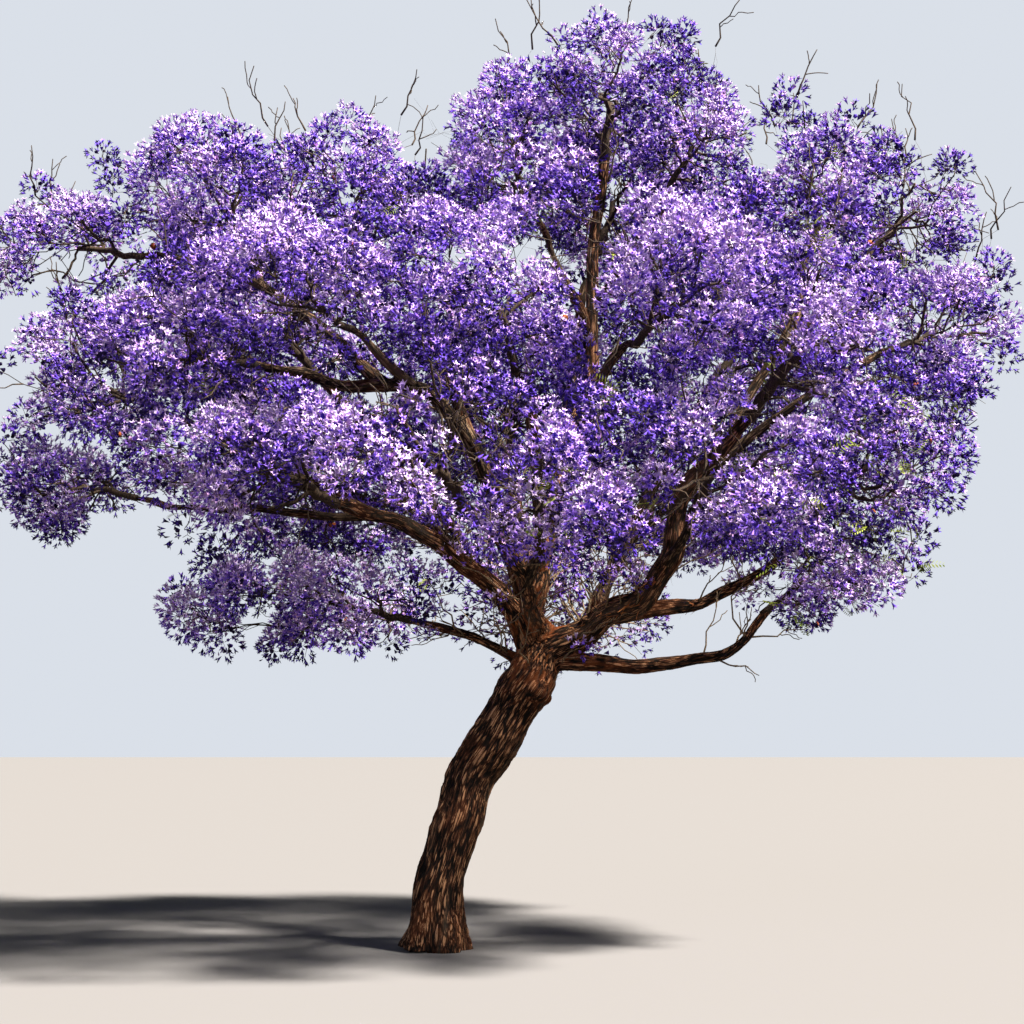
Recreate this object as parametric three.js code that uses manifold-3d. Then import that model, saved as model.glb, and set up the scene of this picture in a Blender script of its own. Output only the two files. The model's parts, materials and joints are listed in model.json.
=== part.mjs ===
// Jacaranda tree in full blossom, rooted in level ground.
// Millimetres, +Z up, X to the right and Y away from the viewer. The origin is the middle of the flat cut
// under the trunk. One leaning trunk forks into long boughs, and each bough ends in one mass of blossom.
import * as THREE from 'three';
import { mergeVertices } from 'three/addons/utils/BufferGeometryUtils.js';
import Module from 'manifold-3d';

const wasm = await Module();
wasm.setup();
const { Manifold, Mesh } = wasm;

// Clearances
const gap = 0.3; // between two pieces that touch
const tolerance = 0.05; // how far a needless vertex may lie from the surface without it
const spaceMargin = 5; // kept inside the border between two masses
const limbMargin = 25; // kept between a twig or spray and a bough
const sprayMargin = 8; // between two sprays
const stemMargin = 60; // between a spray and the stem of its mass

// Trunk: upright at its foot, then leaning to the right up to its fork
const trunk = {
  route: [
    [0, 0, 0], [60, 0, 540], [165, 10, 1000], [375, 20, 1470],
    [650, 10, 1950], [820, 0, 2300], [920, 0, 2520],
  ],
  level: 60, // what lies lower than this lies on the ground
  foot: 205, // radius above the root flare
  fork: 200, // radius under the fork
  crest: 130, // radius of the rounded top between the boughs
  crestFrom: 0.94,
  flare: 85, // extra radius of the root flare at the ground
  flareFade: 0.085, // share of the trunk in which the flare fades
  lobes: 5, // ridges that run down into the roots
  lobeDepth: 0.16,
  sides: 12,
  steps: 14,
};

// Boughs: where each leaves its parent (0 foot, 1 tip), the points it bends through and its thickness at both
// ends, then the mass on its tip with the middle and half sizes of its space
const collar = { swell: 0.16, fade: 14 }; // where a bough leaves its parent
const taper = 0.8; // under 1 a bough thins sooner
const sidesOf = { thick: 7, thin: 5, from: 140 }; // faces round a bough, by its thickness
const beadStep = 60; // between the points that keep twigs clear of a bough
const boughs = [
  {
    name: 'left_limb', from: 'trunk', at: 0.955, via: [[450, -300, 3100], [-250, -850, 3470]], thick: [210, 90],
    mass: 'left_front_low', middle: [-1490, -1700, 3930], half: [1010, 1060, 690],
  },
  {
    name: 'left_under_limb', from: 'trunk', at: 0.9, via: [[260, -60, 2680]], thick: [110, 60],
    mass: 'left_skirt', middle: [-1120, 50, 2990], half: [1500, 1200, 530],
  },
  {
    name: 'centre_limb', from: 'trunk', at: 0.99, via: [[920, 50, 3310], [1300, 250, 5050]], thick: [250, 90],
    mass: 'crown_top', middle: [1580, 250, 7640], half: [900, 1250, 730],
  },
  {
    name: 'right_limb', from: 'trunk', at: 0.975,
    via: [[1860, -250, 3020], [2150, -600, 3840]], thick: [290, 100],
    mass: 'right_mid', middle: [3070, -1750, 4920], half: [920, 1130, 900],
  },
  {
    name: 'low_right_limb', from: 'right_limb', at: 0.2, via: [[2460, 150, 2980]], thick: [160, 70],
    mass: 'right_low', middle: [3800, -450, 4160], half: [830, 1200, 720],
  },
  {
    name: 'lowest_right_limb', from: 'trunk', at: 0.925,
    via: [[1750, -250, 2400], [2450, -400, 2520]], thick: [170, 65],
    mass: 'right_skirt', middle: [3240, -300, 3200], half: [780, 1200, 480],
  },
  {
    name: 'front_limb', from: 'centre_limb', at: 0.09, via: [[760, -1000, 3080]], thick: [170, 85],
    mass: 'middle_front', middle: [-110, -2700, 3930], half: [950, 1130, 740],
  },
  {
    name: 'front_right_bough', from: 'front_limb', at: 0.45, via: [[900, -1600, 3220]], thick: [110, 65],
    mass: 'centre_front', middle: [880, -2700, 3640], half: [870, 1130, 720],
  },
  {
    name: 'back_left_limb', from: 'trunk', at: 0.945, via: [[560, 900, 3130]], thick: [190, 90],
    mass: 'back_left', middle: [-1800, 2100, 6000], half: [1350, 1450, 1120],
  },
  {
    name: 'back_low_left_bough', from: 'back_left_limb', at: 0.42, via: [[-150, 1700, 3900]], thick: [120, 70],
    mass: 'back_low_left', middle: [-1150, 2150, 4250], half: [1300, 1450, 880],
  },
  {
    name: 'back_middle_limb', from: 'centre_limb', at: 0.16, via: [[700, 1150, 4050]], thick: [160, 80],
    mass: 'back_middle', middle: [600, 2450, 5200], half: [1350, 1450, 1080],
  },
  {
    name: 'back_right_limb', from: 'right_limb', at: 0.12, via: [[1500, 850, 3120]], thick: [190, 90],
    mass: 'back_right', middle: [3050, 2200, 6000], half: [1350, 1450, 1150],
  },
  {
    name: 'back_low_right_bough', from: 'back_right_limb', at: 0.42,
    via: [[1950, 1750, 3800]], thick: [120, 70],
    mass: 'back_low_right', middle: [2450, 2400, 4250], half: [1350, 1450, 880],
  },
  {
    name: 'upper_left_limb', from: 'centre_limb', at: 0.17,
    via: [[70, -750, 4560], [-860, -1250, 4640]], thick: [165, 70],
    mass: 'left_front', middle: [-1980, -1600, 4830], half: [850, 1060, 690],
  },
  {
    name: 'left_front_bough', from: 'upper_left_limb', at: 0.42, via: [[-430, -1250, 4880]], thick: [90, 55],
    mass: 'left_front_high', middle: [-980, -1850, 5250], half: [990, 1170, 740],
  },
  {
    name: 'left_top_bough', from: 'upper_left_limb', at: 0.22, via: [[-80, -450, 5300]], thick: [110, 60],
    mass: 'left_top', middle: [-800, -150, 6520], half: [920, 1300, 780],
  },
  {
    name: 'far_left_bough', from: 'upper_left_limb', at: 0.5,
    via: [[-1250, -550, 5450], [-2250, 50, 5960]], thick: [110, 55],
    mass: 'left_tip', middle: [-3380, 200, 6150], half: [1030, 1250, 600],
  },
  {
    name: 'left_upper_bough', from: 'far_left_bough', at: 0.42, via: [[-1640, -50, 5950]], thick: [75, 50],
    mass: 'left_upper', middle: [-2000, 120, 6600], half: [850, 1300, 760],
  },
  {
    name: 'left_mid_bough', from: 'left_limb', at: 0.55, via: [[-1250, -700, 4050]], thick: [100, 55],
    mass: 'left_mid', middle: [-2980, -500, 4820], half: [880, 1200, 720],
  },
  {
    name: 'left_low_bough', from: 'left_limb', at: 0.76, via: [[-1750, -700, 3620]], thick: [85, 50],
    mass: 'left_low', middle: [-3200, -300, 3940], half: [760, 1060, 520],
  },
  {
    name: 'middle_bough', from: 'centre_limb', at: 0.3, via: [[790, -850, 4450]], thick: [120, 65],
    mass: 'middle_high', middle: [520, -1500, 5330], half: [1020, 1300, 950],
  },
  {
    name: 'cross_bough', from: 'centre_limb', at: 0.4, via: [[1480, -700, 4850]], thick: [120, 65],
    mass: 'right_front_high', middle: [2050, -1850, 5200], half: [1050, 1200, 980],
  },
  {
    name: 'top_back_bough', from: 'centre_limb', at: 0.5, via: [[1320, 950, 5750]], thick: [120, 65],
    mass: 'top_back', middle: [1700, 1700, 7150], half: [1150, 1300, 860],
  },
  {
    name: 'top_left_bough', from: 'centre_limb', at: 0.72, via: [[1050, 120, 6000]], thick: [95, 55],
    mass: 'top_left', middle: [620, -100, 6950], half: [800, 1200, 820],
  },
  {
    name: 'top_right_bough', from: 'centre_limb', at: 0.76, via: [[1850, 220, 6200]], thick: [95, 55],
    mass: 'top_right', middle: [2360, 100, 7190], half: [740, 1200, 760],
  },
  {
    name: 'right_front_bough', from: 'right_limb', at: 0.42, via: [[2080, -1100, 3480]], thick: [110, 65],
    mass: 'right_front', middle: [2200, -2250, 3780], half: [1250, 1130, 720],
  },
  {
    name: 'right_top_bough', from: 'right_limb', at: 0.62, via: [[3020, -350, 5200]], thick: [115, 60],
    mass: 'right_top', middle: [3480, 200, 6700], half: [810, 1300, 670],
  },
  {
    name: 'right_shoulder_bough', from: 'right_top_bough', at: 0.45, via: [[3560, -100, 5720]], thick: [75, 50],
    mass: 'right_shoulder', middle: [4230, 100, 6480], half: [670, 1170, 690],
  },
  {
    name: 'right_far_bough', from: 'right_limb', at: 0.72, via: [[3520, -550, 4900]], thick: [95, 55],
    mass: 'right_far', middle: [4520, 0, 5370], half: [740, 1220, 740],
  },
];

// Sprays of blossom: reach from the middle to each corner, and their places in a mass
const spray = { out: 330, back: 245, wide: 290, flat: 222, spread: 0.2 };
const sprayDepth = [0.72, 1]; // how far out in its space a spray's tip may lie
const cornerSlack = 1.06; // how far the other corners may pass the round of the space
const upturn = 0.25; // how much a spray turns upward
const outwardLeast = 0.05; // how far a spray must face away from the middle of the crown
const crownMiddle = [600, 0, 4200];
const tries = 3000; // seeded places tried in each mass
const seed = 4100;

// Stems and twigs
const tipDepth = 0.92; // how far out in its mass a bough's tip lies
const tipShare = 0.62; // and at most this share of the way back to its last bend
const heartDepth = 0.75; // where the stem ends on its way to the middle of the mass
const stemBend = 0.35; // share of the stem that still follows the bough
const stemTaper = [0.94, 0.7]; // thickness of the stem's two ends against the bough's tip
const firstFork = 0.27; // share of a branch under its first fork
const forkStep = 80; // between two forks on one branch
const pathCost = 0.45; // how much a twig prefers a fork near the bough
const rootShare = 0.58; // thickness of a twig's root against the branch it grows from
const twigTip = 9; // radius of a twig where it enters a spray
const twigPower = 0.6; // how a twig thickens with the sprays it carries
const checks = [0, 0.15, 0.3, 0.45, 0.6, 0.75, 0.9]; // places along a twig that are kept clear of sprays

// Finishes
const finishes = {
  bark: { color: 0x4a3325, roughness: 0.95, metalness: 0 },
  blossom: { color: 0x9a7ae0, roughness: 0.7, metalness: 0 },
};

const vec = (p) => new THREE.Vector3(...p);

// Seeded random numbers from 0 to 1
function seeded(start) {
  let state = start;
  return () => {
    state = (state + 0x6d2b79f5) | 0;
    let t = Math.imul(state ^ (state >>> 15), 1 | state);
    t = (t + Math.imul(t ^ (t >>> 7), 61 | t)) ^ t;
    return ((t ^ (t >>> 14)) >>> 0) / 4294967296;
  };
}

// A geometry's closed surface as a solid
function solid(geometry) {
  geometry.deleteAttribute('normal');
  geometry.deleteAttribute('uv');
  const merged = mergeVertices(geometry, 1e-4);
  return new Manifold(new Mesh({
    numProp: 3,
    vertProperties: new Float32Array(merged.attributes.position.array),
    triVerts: new Uint32Array(merged.index.array),
  }));
}

// A solid's largest body, with loose scraps and sealed hollows left out and needless vertices merged
function largest(body) {
  const pieces = body.asOriginal().simplify(tolerance).decompose();
  return pieces.reduce((best, piece) => (piece.volume() > best.volume() ? piece : best));
}

// A cylinder bent along a curve, with its radius as a function of the way along and around, grown all over
function limb(curve, sides, steps, radius, grow = 0) {
  const geometry = new THREE.CylinderGeometry(1, 1, 1, sides, steps);
  const rings = [];
  let normal = new THREE.Vector3(0, 1, 0);
  for (let i = 0; i <= steps; i += 1) {
    const tangent = curve.getTangent(i / steps);
    if (i === 0 && Math.abs(tangent.y) > 0.9) normal = new THREE.Vector3(1, 0, 0);
    normal = normal.clone().addScaledVector(tangent, -normal.dot(tangent)).normalize();
    rings.push({ centre: curve.getPoint(i / steps), normal, side: normal.clone().cross(tangent) });
    if (i === 0) rings[i].centre.addScaledVector(tangent, -grow);
    if (i === steps) rings[i].centre.addScaledVector(tangent, grow);
  }
  const position = geometry.attributes.position;
  for (let k = 0; k < position.count; k += 1) {
    const along = position.getY(k) + 0.5;
    const x = position.getX(k);
    const z = position.getZ(k);
    const ring = rings[Math.round(along * steps)];
    const reach = radius(along, Math.atan2(z, x)) + grow;
    const point = ring.centre.clone();
    point.addScaledVector(ring.normal, x * reach);
    point.addScaledVector(ring.side, z * reach);
    position.setXYZ(k, point.x, point.y, point.z);
  }
  return geometry;
}

// Radius of the trunk: root flare with lobes at the ground, and a rounded crest at the fork
function trunkRadius(along, angle) {
  const flare = Math.exp(-along / trunk.flareFade);
  const lobes = 1 + trunk.lobeDepth * flare * Math.cos(trunk.lobes * angle);
  const crest = Math.max(0, (along - trunk.crestFrom) / (1 - trunk.crestFrom));
  const plain = THREE.MathUtils.lerp(trunk.foot, trunk.fork, along);
  return (plain + trunk.flare * flare) * lobes + (trunk.crest - trunk.fork) * crest * crest;
}

// Radius of a bough: an even taper from a slight collar
function boughRadius(thick, along) {
  const swell = 1 + collar.swell * Math.exp(-along * collar.fade);
  return THREE.MathUtils.lerp(thick[0], thick[1], along ** taper) / 2 * swell;
}

function route(points) {
  return new THREE.CatmullRomCurve3(points, false, 'catmullrom', 0.5);
}

// The trunk, cut flat on the ground
function makeTrunk() {
  const curve = route(trunk.route.map(vec));
  const shape = (grow) => {
    const geometry = limb(curve, trunk.sides, trunk.steps, trunkRadius, grow);
    const position = geometry.attributes.position;
    for (let k = 0; k < position.count; k += 1) {
      if (position.getZ(k) < trunk.level) position.setZ(k, 0);
    }
    return solid(geometry);
  };
  return { name: 'trunk', curve, radius: (along) => trunkRadius(along, Math.PI / trunk.lobes / 2), shape };
}

// The space of a mass: its ellipsoid, cut back halfway to every neighbour
function makeSpace(own, all) {
  const middle = vec(own.middle);
  const half = vec(own.half);
  const power = (b) => (b.half[0] * b.half[1] * b.half[2]) ** (2 / 3);
  const borders = all.filter((other) => other !== own).map((other) => {
    const away = vec(other.middle).sub(middle);
    const length = away.length();
    const reach = (length * length + power(own) - power(other)) / (2 * length) - spaceMargin;
    return { normal: away.divideScalar(length), reach };
  });
  return {
    middle,
    holds(point, slack) {
      const local = point.clone().sub(middle);
      if (local.clone().divide(half).length() > slack) return false;
      return borders.every((border) => local.dot(border.normal) <= border.reach);
    },
    // Way from a point inside to the border of the space along a direction
    edge(from, direction) {
      const local = from.clone().sub(middle);
      const p = local.clone().divide(half);
      const d = direction.clone().divide(half);
      const a = d.dot(d);
      const b = p.dot(d);
      const way = (-b + Math.sqrt(b * b - a * (p.dot(p) - 1))) / a;
      return borders.reduce((nearest, border) => {
        const toward = direction.dot(border.normal);
        if (toward <= 0) return nearest;
        return Math.min(nearest, (border.reach - local.dot(border.normal)) / toward);
      }, way);
    },
  };
}

// A bough's tip lies just inside the space of its mass, on the way to the middle
function tipOf(bough) {
  const space = makeSpace(bough, boughs);
  const last = vec(bough.via[bough.via.length - 1]);
  const away = last.clone().sub(space.middle);
  const far = away.length();
  away.divideScalar(far);
  const reach = Math.min(tipDepth * space.edge(space.middle, away), tipShare * far);
  return space.middle.addScaledVector(away, reach);
}

function makeBough(bough, parent) {
  const start = parent.curve.getPoint(bough.at);
  const curve = route([start, ...bough.via.map(vec), tipOf(bough)]);
  const sides = bough.thick[0] > sidesOf.from ? sidesOf.thick : sidesOf.thin;
  const steps = 2 * bough.via.length + 3;
  const radius = (along) => boughRadius(bough.thick, along);
  const shape = (grow) => solid(limb(curve, sides, steps, radius, grow));
  return { name: bough.name, curve, radius, shape };
}

// Points along every limb with the radius there, for keeping twigs clear of them
function limbBeads(limbs) {
  return limbs.flatMap((item) => {
    const count = Math.ceil(item.curve.getLength() / beadStep);
    return Array.from({ length: count + 1 }, (_, i) => (
      { centre: item.curve.getPoint(i / count), radius: item.radius(i / count) }));
  });
}

// The six corners of a spray and its frame, pointed along a direction
function makeSpray(centre, direction, draw) {
  const side = new THREE.Vector3(-direction.y, direction.x, 0.001).normalize();
  const up = side.clone().cross(direction).normalize();
  const turn = draw() * Math.PI;
  const wide = side.clone().multiplyScalar(Math.cos(turn)).addScaledVector(up, Math.sin(turn));
  const flat = direction.clone().cross(wide).normalize();
  const vary = () => 1 + spray.spread * (2 * draw() - 1);
  const reach = [spray.out * vary(), spray.back * vary(), spray.wide * vary(), spray.wide * vary(),
    spray.flat * vary(), spray.flat * vary()];
  return { centre, axes: [direction, wide, flat], reach };
}

function sprayCorners(item) {
  return item.axes.flatMap((axis, i) => [
    item.centre.clone().addScaledVector(axis, item.reach[2 * i]),
    item.centre.clone().addScaledVector(axis, -item.reach[2 * i + 1]),
  ]);
}

// How far a spray reaches along a direction from its middle
function sprayReach(item, direction) {
  return Math.max(...item.axes.map((axis, i) => {
    const along = axis.dot(direction);
    return Math.abs(along) * item.reach[along > 0 ? 2 * i : 2 * i + 1];
  }));
}

function apart(one, other) {
  const away = other.centre.clone().sub(one.centre);
  const distance = away.length();
  away.divideScalar(distance);
  return sprayReach(one, away) + sprayReach(other, away.clone().negate()) + sprayMargin < distance;
}

// How far a point lies outside a spray, at the least
function outsideSpray(item, point) {
  const away = point.clone().sub(item.centre);
  let sum = 0;
  let steep = 0;
  item.axes.forEach((axis, i) => {
    const along = away.dot(axis);
    const reach = item.reach[along > 0 ? 2 * i : 2 * i + 1];
    sum += Math.abs(along) / reach;
    steep += 1 / (reach * reach);
  });
  return (sum - 1) / Math.sqrt(steep);
}

// True where a straight twig keeps its margin to every limb and every spray but its own
function twigClear(from, item, beads, sprays) {
  const line = new THREE.Line3(from, item.centre);
  const nearest = new THREE.Vector3();
  const clear = beads.every((bead) => {
    line.closestPointToPoint(bead.centre, true, nearest);
    return nearest.distanceTo(bead.centre) > bead.radius + 2 * twigTip + limbMargin;
  });
  if (!clear) return false;
  return checks.every((t) => {
    line.at(t, nearest);
    return sprays.every((other) => other === item || outsideSpray(other, nearest) > 2 * twigTip);
  });
}

// Seeded sprays in the outer part of a space, none touching another, a limb or the stem
function placeSprays(space, heart, beads, stemPoints, draw) {
  const sprays = [];
  for (let i = 0; i < tries; i += 1) {
    const turn = 2 * Math.PI * draw();
    const rise = 2 * draw() - 1;
    const flat = Math.sqrt(1 - rise * rise);
    const out = new THREE.Vector3(flat * Math.cos(turn), flat * Math.sin(turn), rise);
    const depth = THREE.MathUtils.lerp(sprayDepth[0], sprayDepth[1], draw());
    const far = heart.clone().addScaledVector(out, depth * space.edge(heart, out));
    const outward = far.clone().sub(vec(crownMiddle)).normalize();
    const direction = out.clone();
    direction.z += upturn;
    direction.normalize();
    const centre = far.addScaledVector(direction, -spray.out);
    const item = makeSpray(centre, direction, draw);
    const fits = out.dot(outward) > outwardLeast
      && sprayCorners(item).every((corner) => space.holds(corner, cornerSlack))
      && sprays.every((other) => apart(item, other))
      && beads.every((bead) => outsideSpray(item, bead.centre) > bead.radius + limbMargin)
      && stemPoints.every((point) => outsideSpray(item, point) > stemMargin);
    if (fits) sprays.push(item);
  }
  return sprays.sort((a, b) => a.centre.distanceTo(heart) - b.centre.distanceTo(heart));
}

// Places along a branch where one twig each may start
function forksAlong(curve, last, path, branch) {
  const length = curve.getLength();
  const count = Math.floor((last - firstFork) * length / forkStep);
  return Array.from({ length: count + 1 }, (_, i) => {
    const share = last - (i * forkStep) / length;
    return { at: curve.getPoint(share), share, path: path + share * length, branch };
  });
}

// Twigs of one mass: a stem from the bough's tip, then a twig to each spray from the nearest free fork
function growMass(bough, carrier, beads, number) {
  const draw = seeded(seed + number);
  const space = makeSpace(bough, boughs);
  const tip = carrier.curve.getPoint(1);
  const heading = carrier.curve.getTangent(1);
  const heart = tip.clone().lerp(space.middle, heartDepth);
  const start = tip.clone().addScaledVector(heading, gap);
  const bend = start.clone().addScaledVector(heading, stemBend * tip.distanceTo(heart));
  const stem = { curve: new THREE.QuadraticBezierCurve3(start, bend, heart), load: 1 };
  const forks = forksAlong(stem.curve, 1, 0, stem);
  const sprays = placeSprays(space, heart, beads, forks.map((fork) => fork.at), draw);
  const twigs = [];
  for (const item of sprays) {
    const cost = (fork) => fork.at.distanceTo(item.centre) + pathCost * fork.path;
    forks.sort((one, other) => cost(one) - cost(other));
    const chosen = forks.findIndex((each) => twigClear(each.at, item, beads, sprays));
    if (chosen < 0) continue;
    const [fork] = forks.splice(chosen, 1);
    const curve = new THREE.LineCurve3(fork.at, item.centre);
    const twig = { curve, item, fork, load: 1 };
    twigs.push(twig);
    for (let up = fork; up; up = up.branch.fork) up.branch.load += 1;
    const share = 1 - 1.1 * spray.back / curve.getLength();
    if (share > firstFork) forks.push(...forksAlong(curve, share, fork.path, twig));
  }
  return { stem, twigs, tipRadius: carrier.radius(1) };
}

// The stem thins on from the bough's tip, and a twig is thinner than what it grows from
function setThickness(growth) {
  const full = (branch) => twigTip * branch.load ** twigPower;
  const [low, high] = stemTaper.map((share) => share * growth.tipRadius);
  growth.stem.thick = [low, Math.min(high, full(growth.stem))];
  for (const twig of growth.twigs) {
    const { thick } = twig.fork.branch;
    const under = THREE.MathUtils.lerp(thick[0], thick[1], twig.fork.share);
    const root = Math.min(full(twig), rootShare * under);
    twig.thick = [root, Math.min(root, twigTip)];
  }
}

// An eight-sided spray with its own reach to each corner
function sprayBody({ centre, axes, reach }) {
  const geometry = new THREE.OctahedronGeometry(1);
  const position = geometry.attributes.position;
  for (let k = 0; k < position.count; k += 1) {
    const point = centre.clone();
    [position.getX(k), position.getY(k), position.getZ(k)].forEach((value, i) => {
      point.addScaledVector(axes[i], value * reach[value > 0 ? 2 * i : 2 * i + 1]);
    });
    position.setXYZ(k, point.x, point.y, point.z);
  }
  return solid(geometry);
}

// A mass of blossom fused into one solid, clear of its bough
function makeMass(growth, carrier) {
  setThickness(growth);
  const radius = (branch) => (along) => THREE.MathUtils.lerp(branch.thick[0], branch.thick[1], along);
  const bodies = [solid(limb(growth.stem.curve, 5, 3, radius(growth.stem)))];
  for (const twig of growth.twigs) {
    bodies.push(solid(limb(twig.curve, 3, 1, radius(twig))));
    bodies.push(sprayBody(twig.item));
  }
  return largest(Manifold.union(bodies).subtract(carrier.shape(gap)));
}

// A solid as a named mesh in its finish
function toMesh(name, body, finish) {
  const { vertProperties, triVerts } = body.getMesh();
  const geometry = new THREE.BufferGeometry();
  geometry.setAttribute('position', new THREE.BufferAttribute(vertProperties, 3));
  geometry.setIndex(new THREE.BufferAttribute(triVerts, 1));
  geometry.computeVertexNormals();
  const mesh = new THREE.Mesh(geometry, new THREE.MeshStandardMaterial(finishes[finish]));
  mesh.name = name;
  return mesh;
}

const tree = new THREE.Group();

// Trunk and boughs, each cut clear of the limbs made before it
const limbs = [makeTrunk()];
for (const bough of boughs) {
  const parent = limbs.find((item) => item.name === bough.from);
  limbs.push(makeBough(bough, parent));
}
let taken = null;
for (const item of limbs) {
  const body = item.shape(0);
  const clear = taken ? largest(body.subtract(taken)) : body;
  taken = taken ? taken.add(item.shape(gap)) : item.shape(gap);
  tree.add(toMesh(item.name, clear, 'bark'));
}

// Masses of blossom, one on each bough
const beads = limbBeads(limbs);
boughs.forEach((bough, number) => {
  const carrier = limbs[number + 1];
  const growth = growMass(bough, carrier, beads, number);
  tree.add(toMesh(bough.mass, makeMass(growth, carrier), 'blossom'));
});

export default tree;
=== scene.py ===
# Jacaranda tree in full blossom. Metres, +Z up, with the middle of the trunk's foot at the origin.
# The skeleton grows by the rule of the solids that it dresses, then goes on to finer twigs and flowers.
import json
import math

import bmesh
import bpy
import numpy as np
from mathutils import Matrix, Vector, noise

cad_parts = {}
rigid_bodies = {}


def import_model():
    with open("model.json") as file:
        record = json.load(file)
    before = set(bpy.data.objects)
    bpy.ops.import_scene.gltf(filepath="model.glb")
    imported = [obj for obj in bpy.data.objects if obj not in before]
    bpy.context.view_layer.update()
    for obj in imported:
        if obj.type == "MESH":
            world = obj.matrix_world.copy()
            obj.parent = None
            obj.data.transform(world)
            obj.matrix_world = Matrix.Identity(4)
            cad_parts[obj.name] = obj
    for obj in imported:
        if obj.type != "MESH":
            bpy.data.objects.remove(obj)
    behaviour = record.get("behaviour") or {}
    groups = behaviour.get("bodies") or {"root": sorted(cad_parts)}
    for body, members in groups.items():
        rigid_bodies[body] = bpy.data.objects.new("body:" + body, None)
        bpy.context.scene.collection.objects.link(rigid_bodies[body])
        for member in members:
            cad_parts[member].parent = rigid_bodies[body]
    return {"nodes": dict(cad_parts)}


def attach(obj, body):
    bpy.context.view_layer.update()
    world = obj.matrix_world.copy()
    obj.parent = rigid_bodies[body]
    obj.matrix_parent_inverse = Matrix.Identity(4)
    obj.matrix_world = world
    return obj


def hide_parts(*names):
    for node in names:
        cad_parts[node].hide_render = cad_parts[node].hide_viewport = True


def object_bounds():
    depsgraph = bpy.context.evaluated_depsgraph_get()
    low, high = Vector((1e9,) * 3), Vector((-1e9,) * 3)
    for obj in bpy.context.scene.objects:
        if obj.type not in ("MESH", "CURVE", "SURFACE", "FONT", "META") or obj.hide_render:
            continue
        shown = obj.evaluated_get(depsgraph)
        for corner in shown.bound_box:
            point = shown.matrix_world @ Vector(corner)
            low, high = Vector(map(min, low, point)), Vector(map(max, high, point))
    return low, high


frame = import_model()
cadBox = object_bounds()
print("frame:", len(frame["nodes"]), "nodes")

# Skeleton: the trunk, the boughs and the spaces of the masses

trunkForm = {
    "route": [(0, 0, 0), (0.06, 0, 0.54), (0.165, 0.01, 1.0), (0.375, 0.02, 1.47),
              (0.65, 0.01, 1.95), (0.82, 0, 2.3), (0.92, 0, 2.52)],
    "foot": 0.205,
    "fork": 0.2,
    "crest": 0.13,
    "crestFrom": 0.94,
    "flare": 0.085,
    "flareFade": 0.085,
    "lobes": 5,
    "lobeDepth": 0.16,
}

boughForm = {
    "swell": 0.16,  # collar where a bough leaves its parent
    "fade": 14,
    "taper": 0.8,
    "tipDepth": 0.92,
    "tipShare": 0.62,
    "beadStep": 0.06,
    "spaceMargin": 0.005,
}

sprayForm = {
    "out": 0.33,
    "back": 0.245,
    "wide": 0.29,
    "flat": 0.222,
    "spread": 0.2,
    "depth": (0.72, 1),
    "cornerSlack": 1.06,
    "borderSlack": 0,
    "between": 0,
    "upturn": 0.25,
    "outwardLeast": 0.05,
    "crownMiddle": (0.6, 0, 4.2),
    "limbMargin": 0.025,
    "sprayMargin": 0.008,
    "stemMargin": 0.06,
    "tries": 3000,
    "seed": 4100,
}

fillForm = dict(sprayForm, out=0.2, back=0.16, wide=0.18, flat=0.15, depth=(0.3, 1), outwardLeast=-0.6,
                limbMargin=0.01, sprayMargin=-0.05, stemMargin=0.03, cornerSlack=1.06, borderSlack=0.2,
                tries=1000, seed=9100)
# small sprays that close the gap between a mass and its neighbours
bridgeForm = dict(fillForm, depth=(0.85, 1.35), outwardLeast=-1, cornerSlack=1.5, between=1.24, tries=460,
                  seed=9500)
# the low masses hang closer together, and the far left ones stand apart
bridgeReach = {"left_skirt": 1.5, "left_low": 1.4, "left_front_low": 1.4, "right_skirt": 1.5,
               "right_low": 1.4, "left_tip": 0, "left_mid": 0}

twigForm = {
    "gap": 0.0003,
    "heartDepth": 0.75,
    "stemBend": 0.35,
    "stemTaper": (0.94, 0.7),
    "firstFork": 0.27,
    "forkStep": 0.08,
    "pathCost": 0.45,
    "rootShare": 0.58,
    "tip": 0.009,
    "power": 0.6,
    "checks": (0, 0.15, 0.3, 0.45, 0.6, 0.75, 0.9),
}


def bough(name, parent, at, via, thick, mass, middle, half):
    return {"name": name, "parent": parent, "at": at, "via": via, "thick": thick,
            "mass": mass, "middle": np.array(middle, float), "half": np.array(half, float)}


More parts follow.
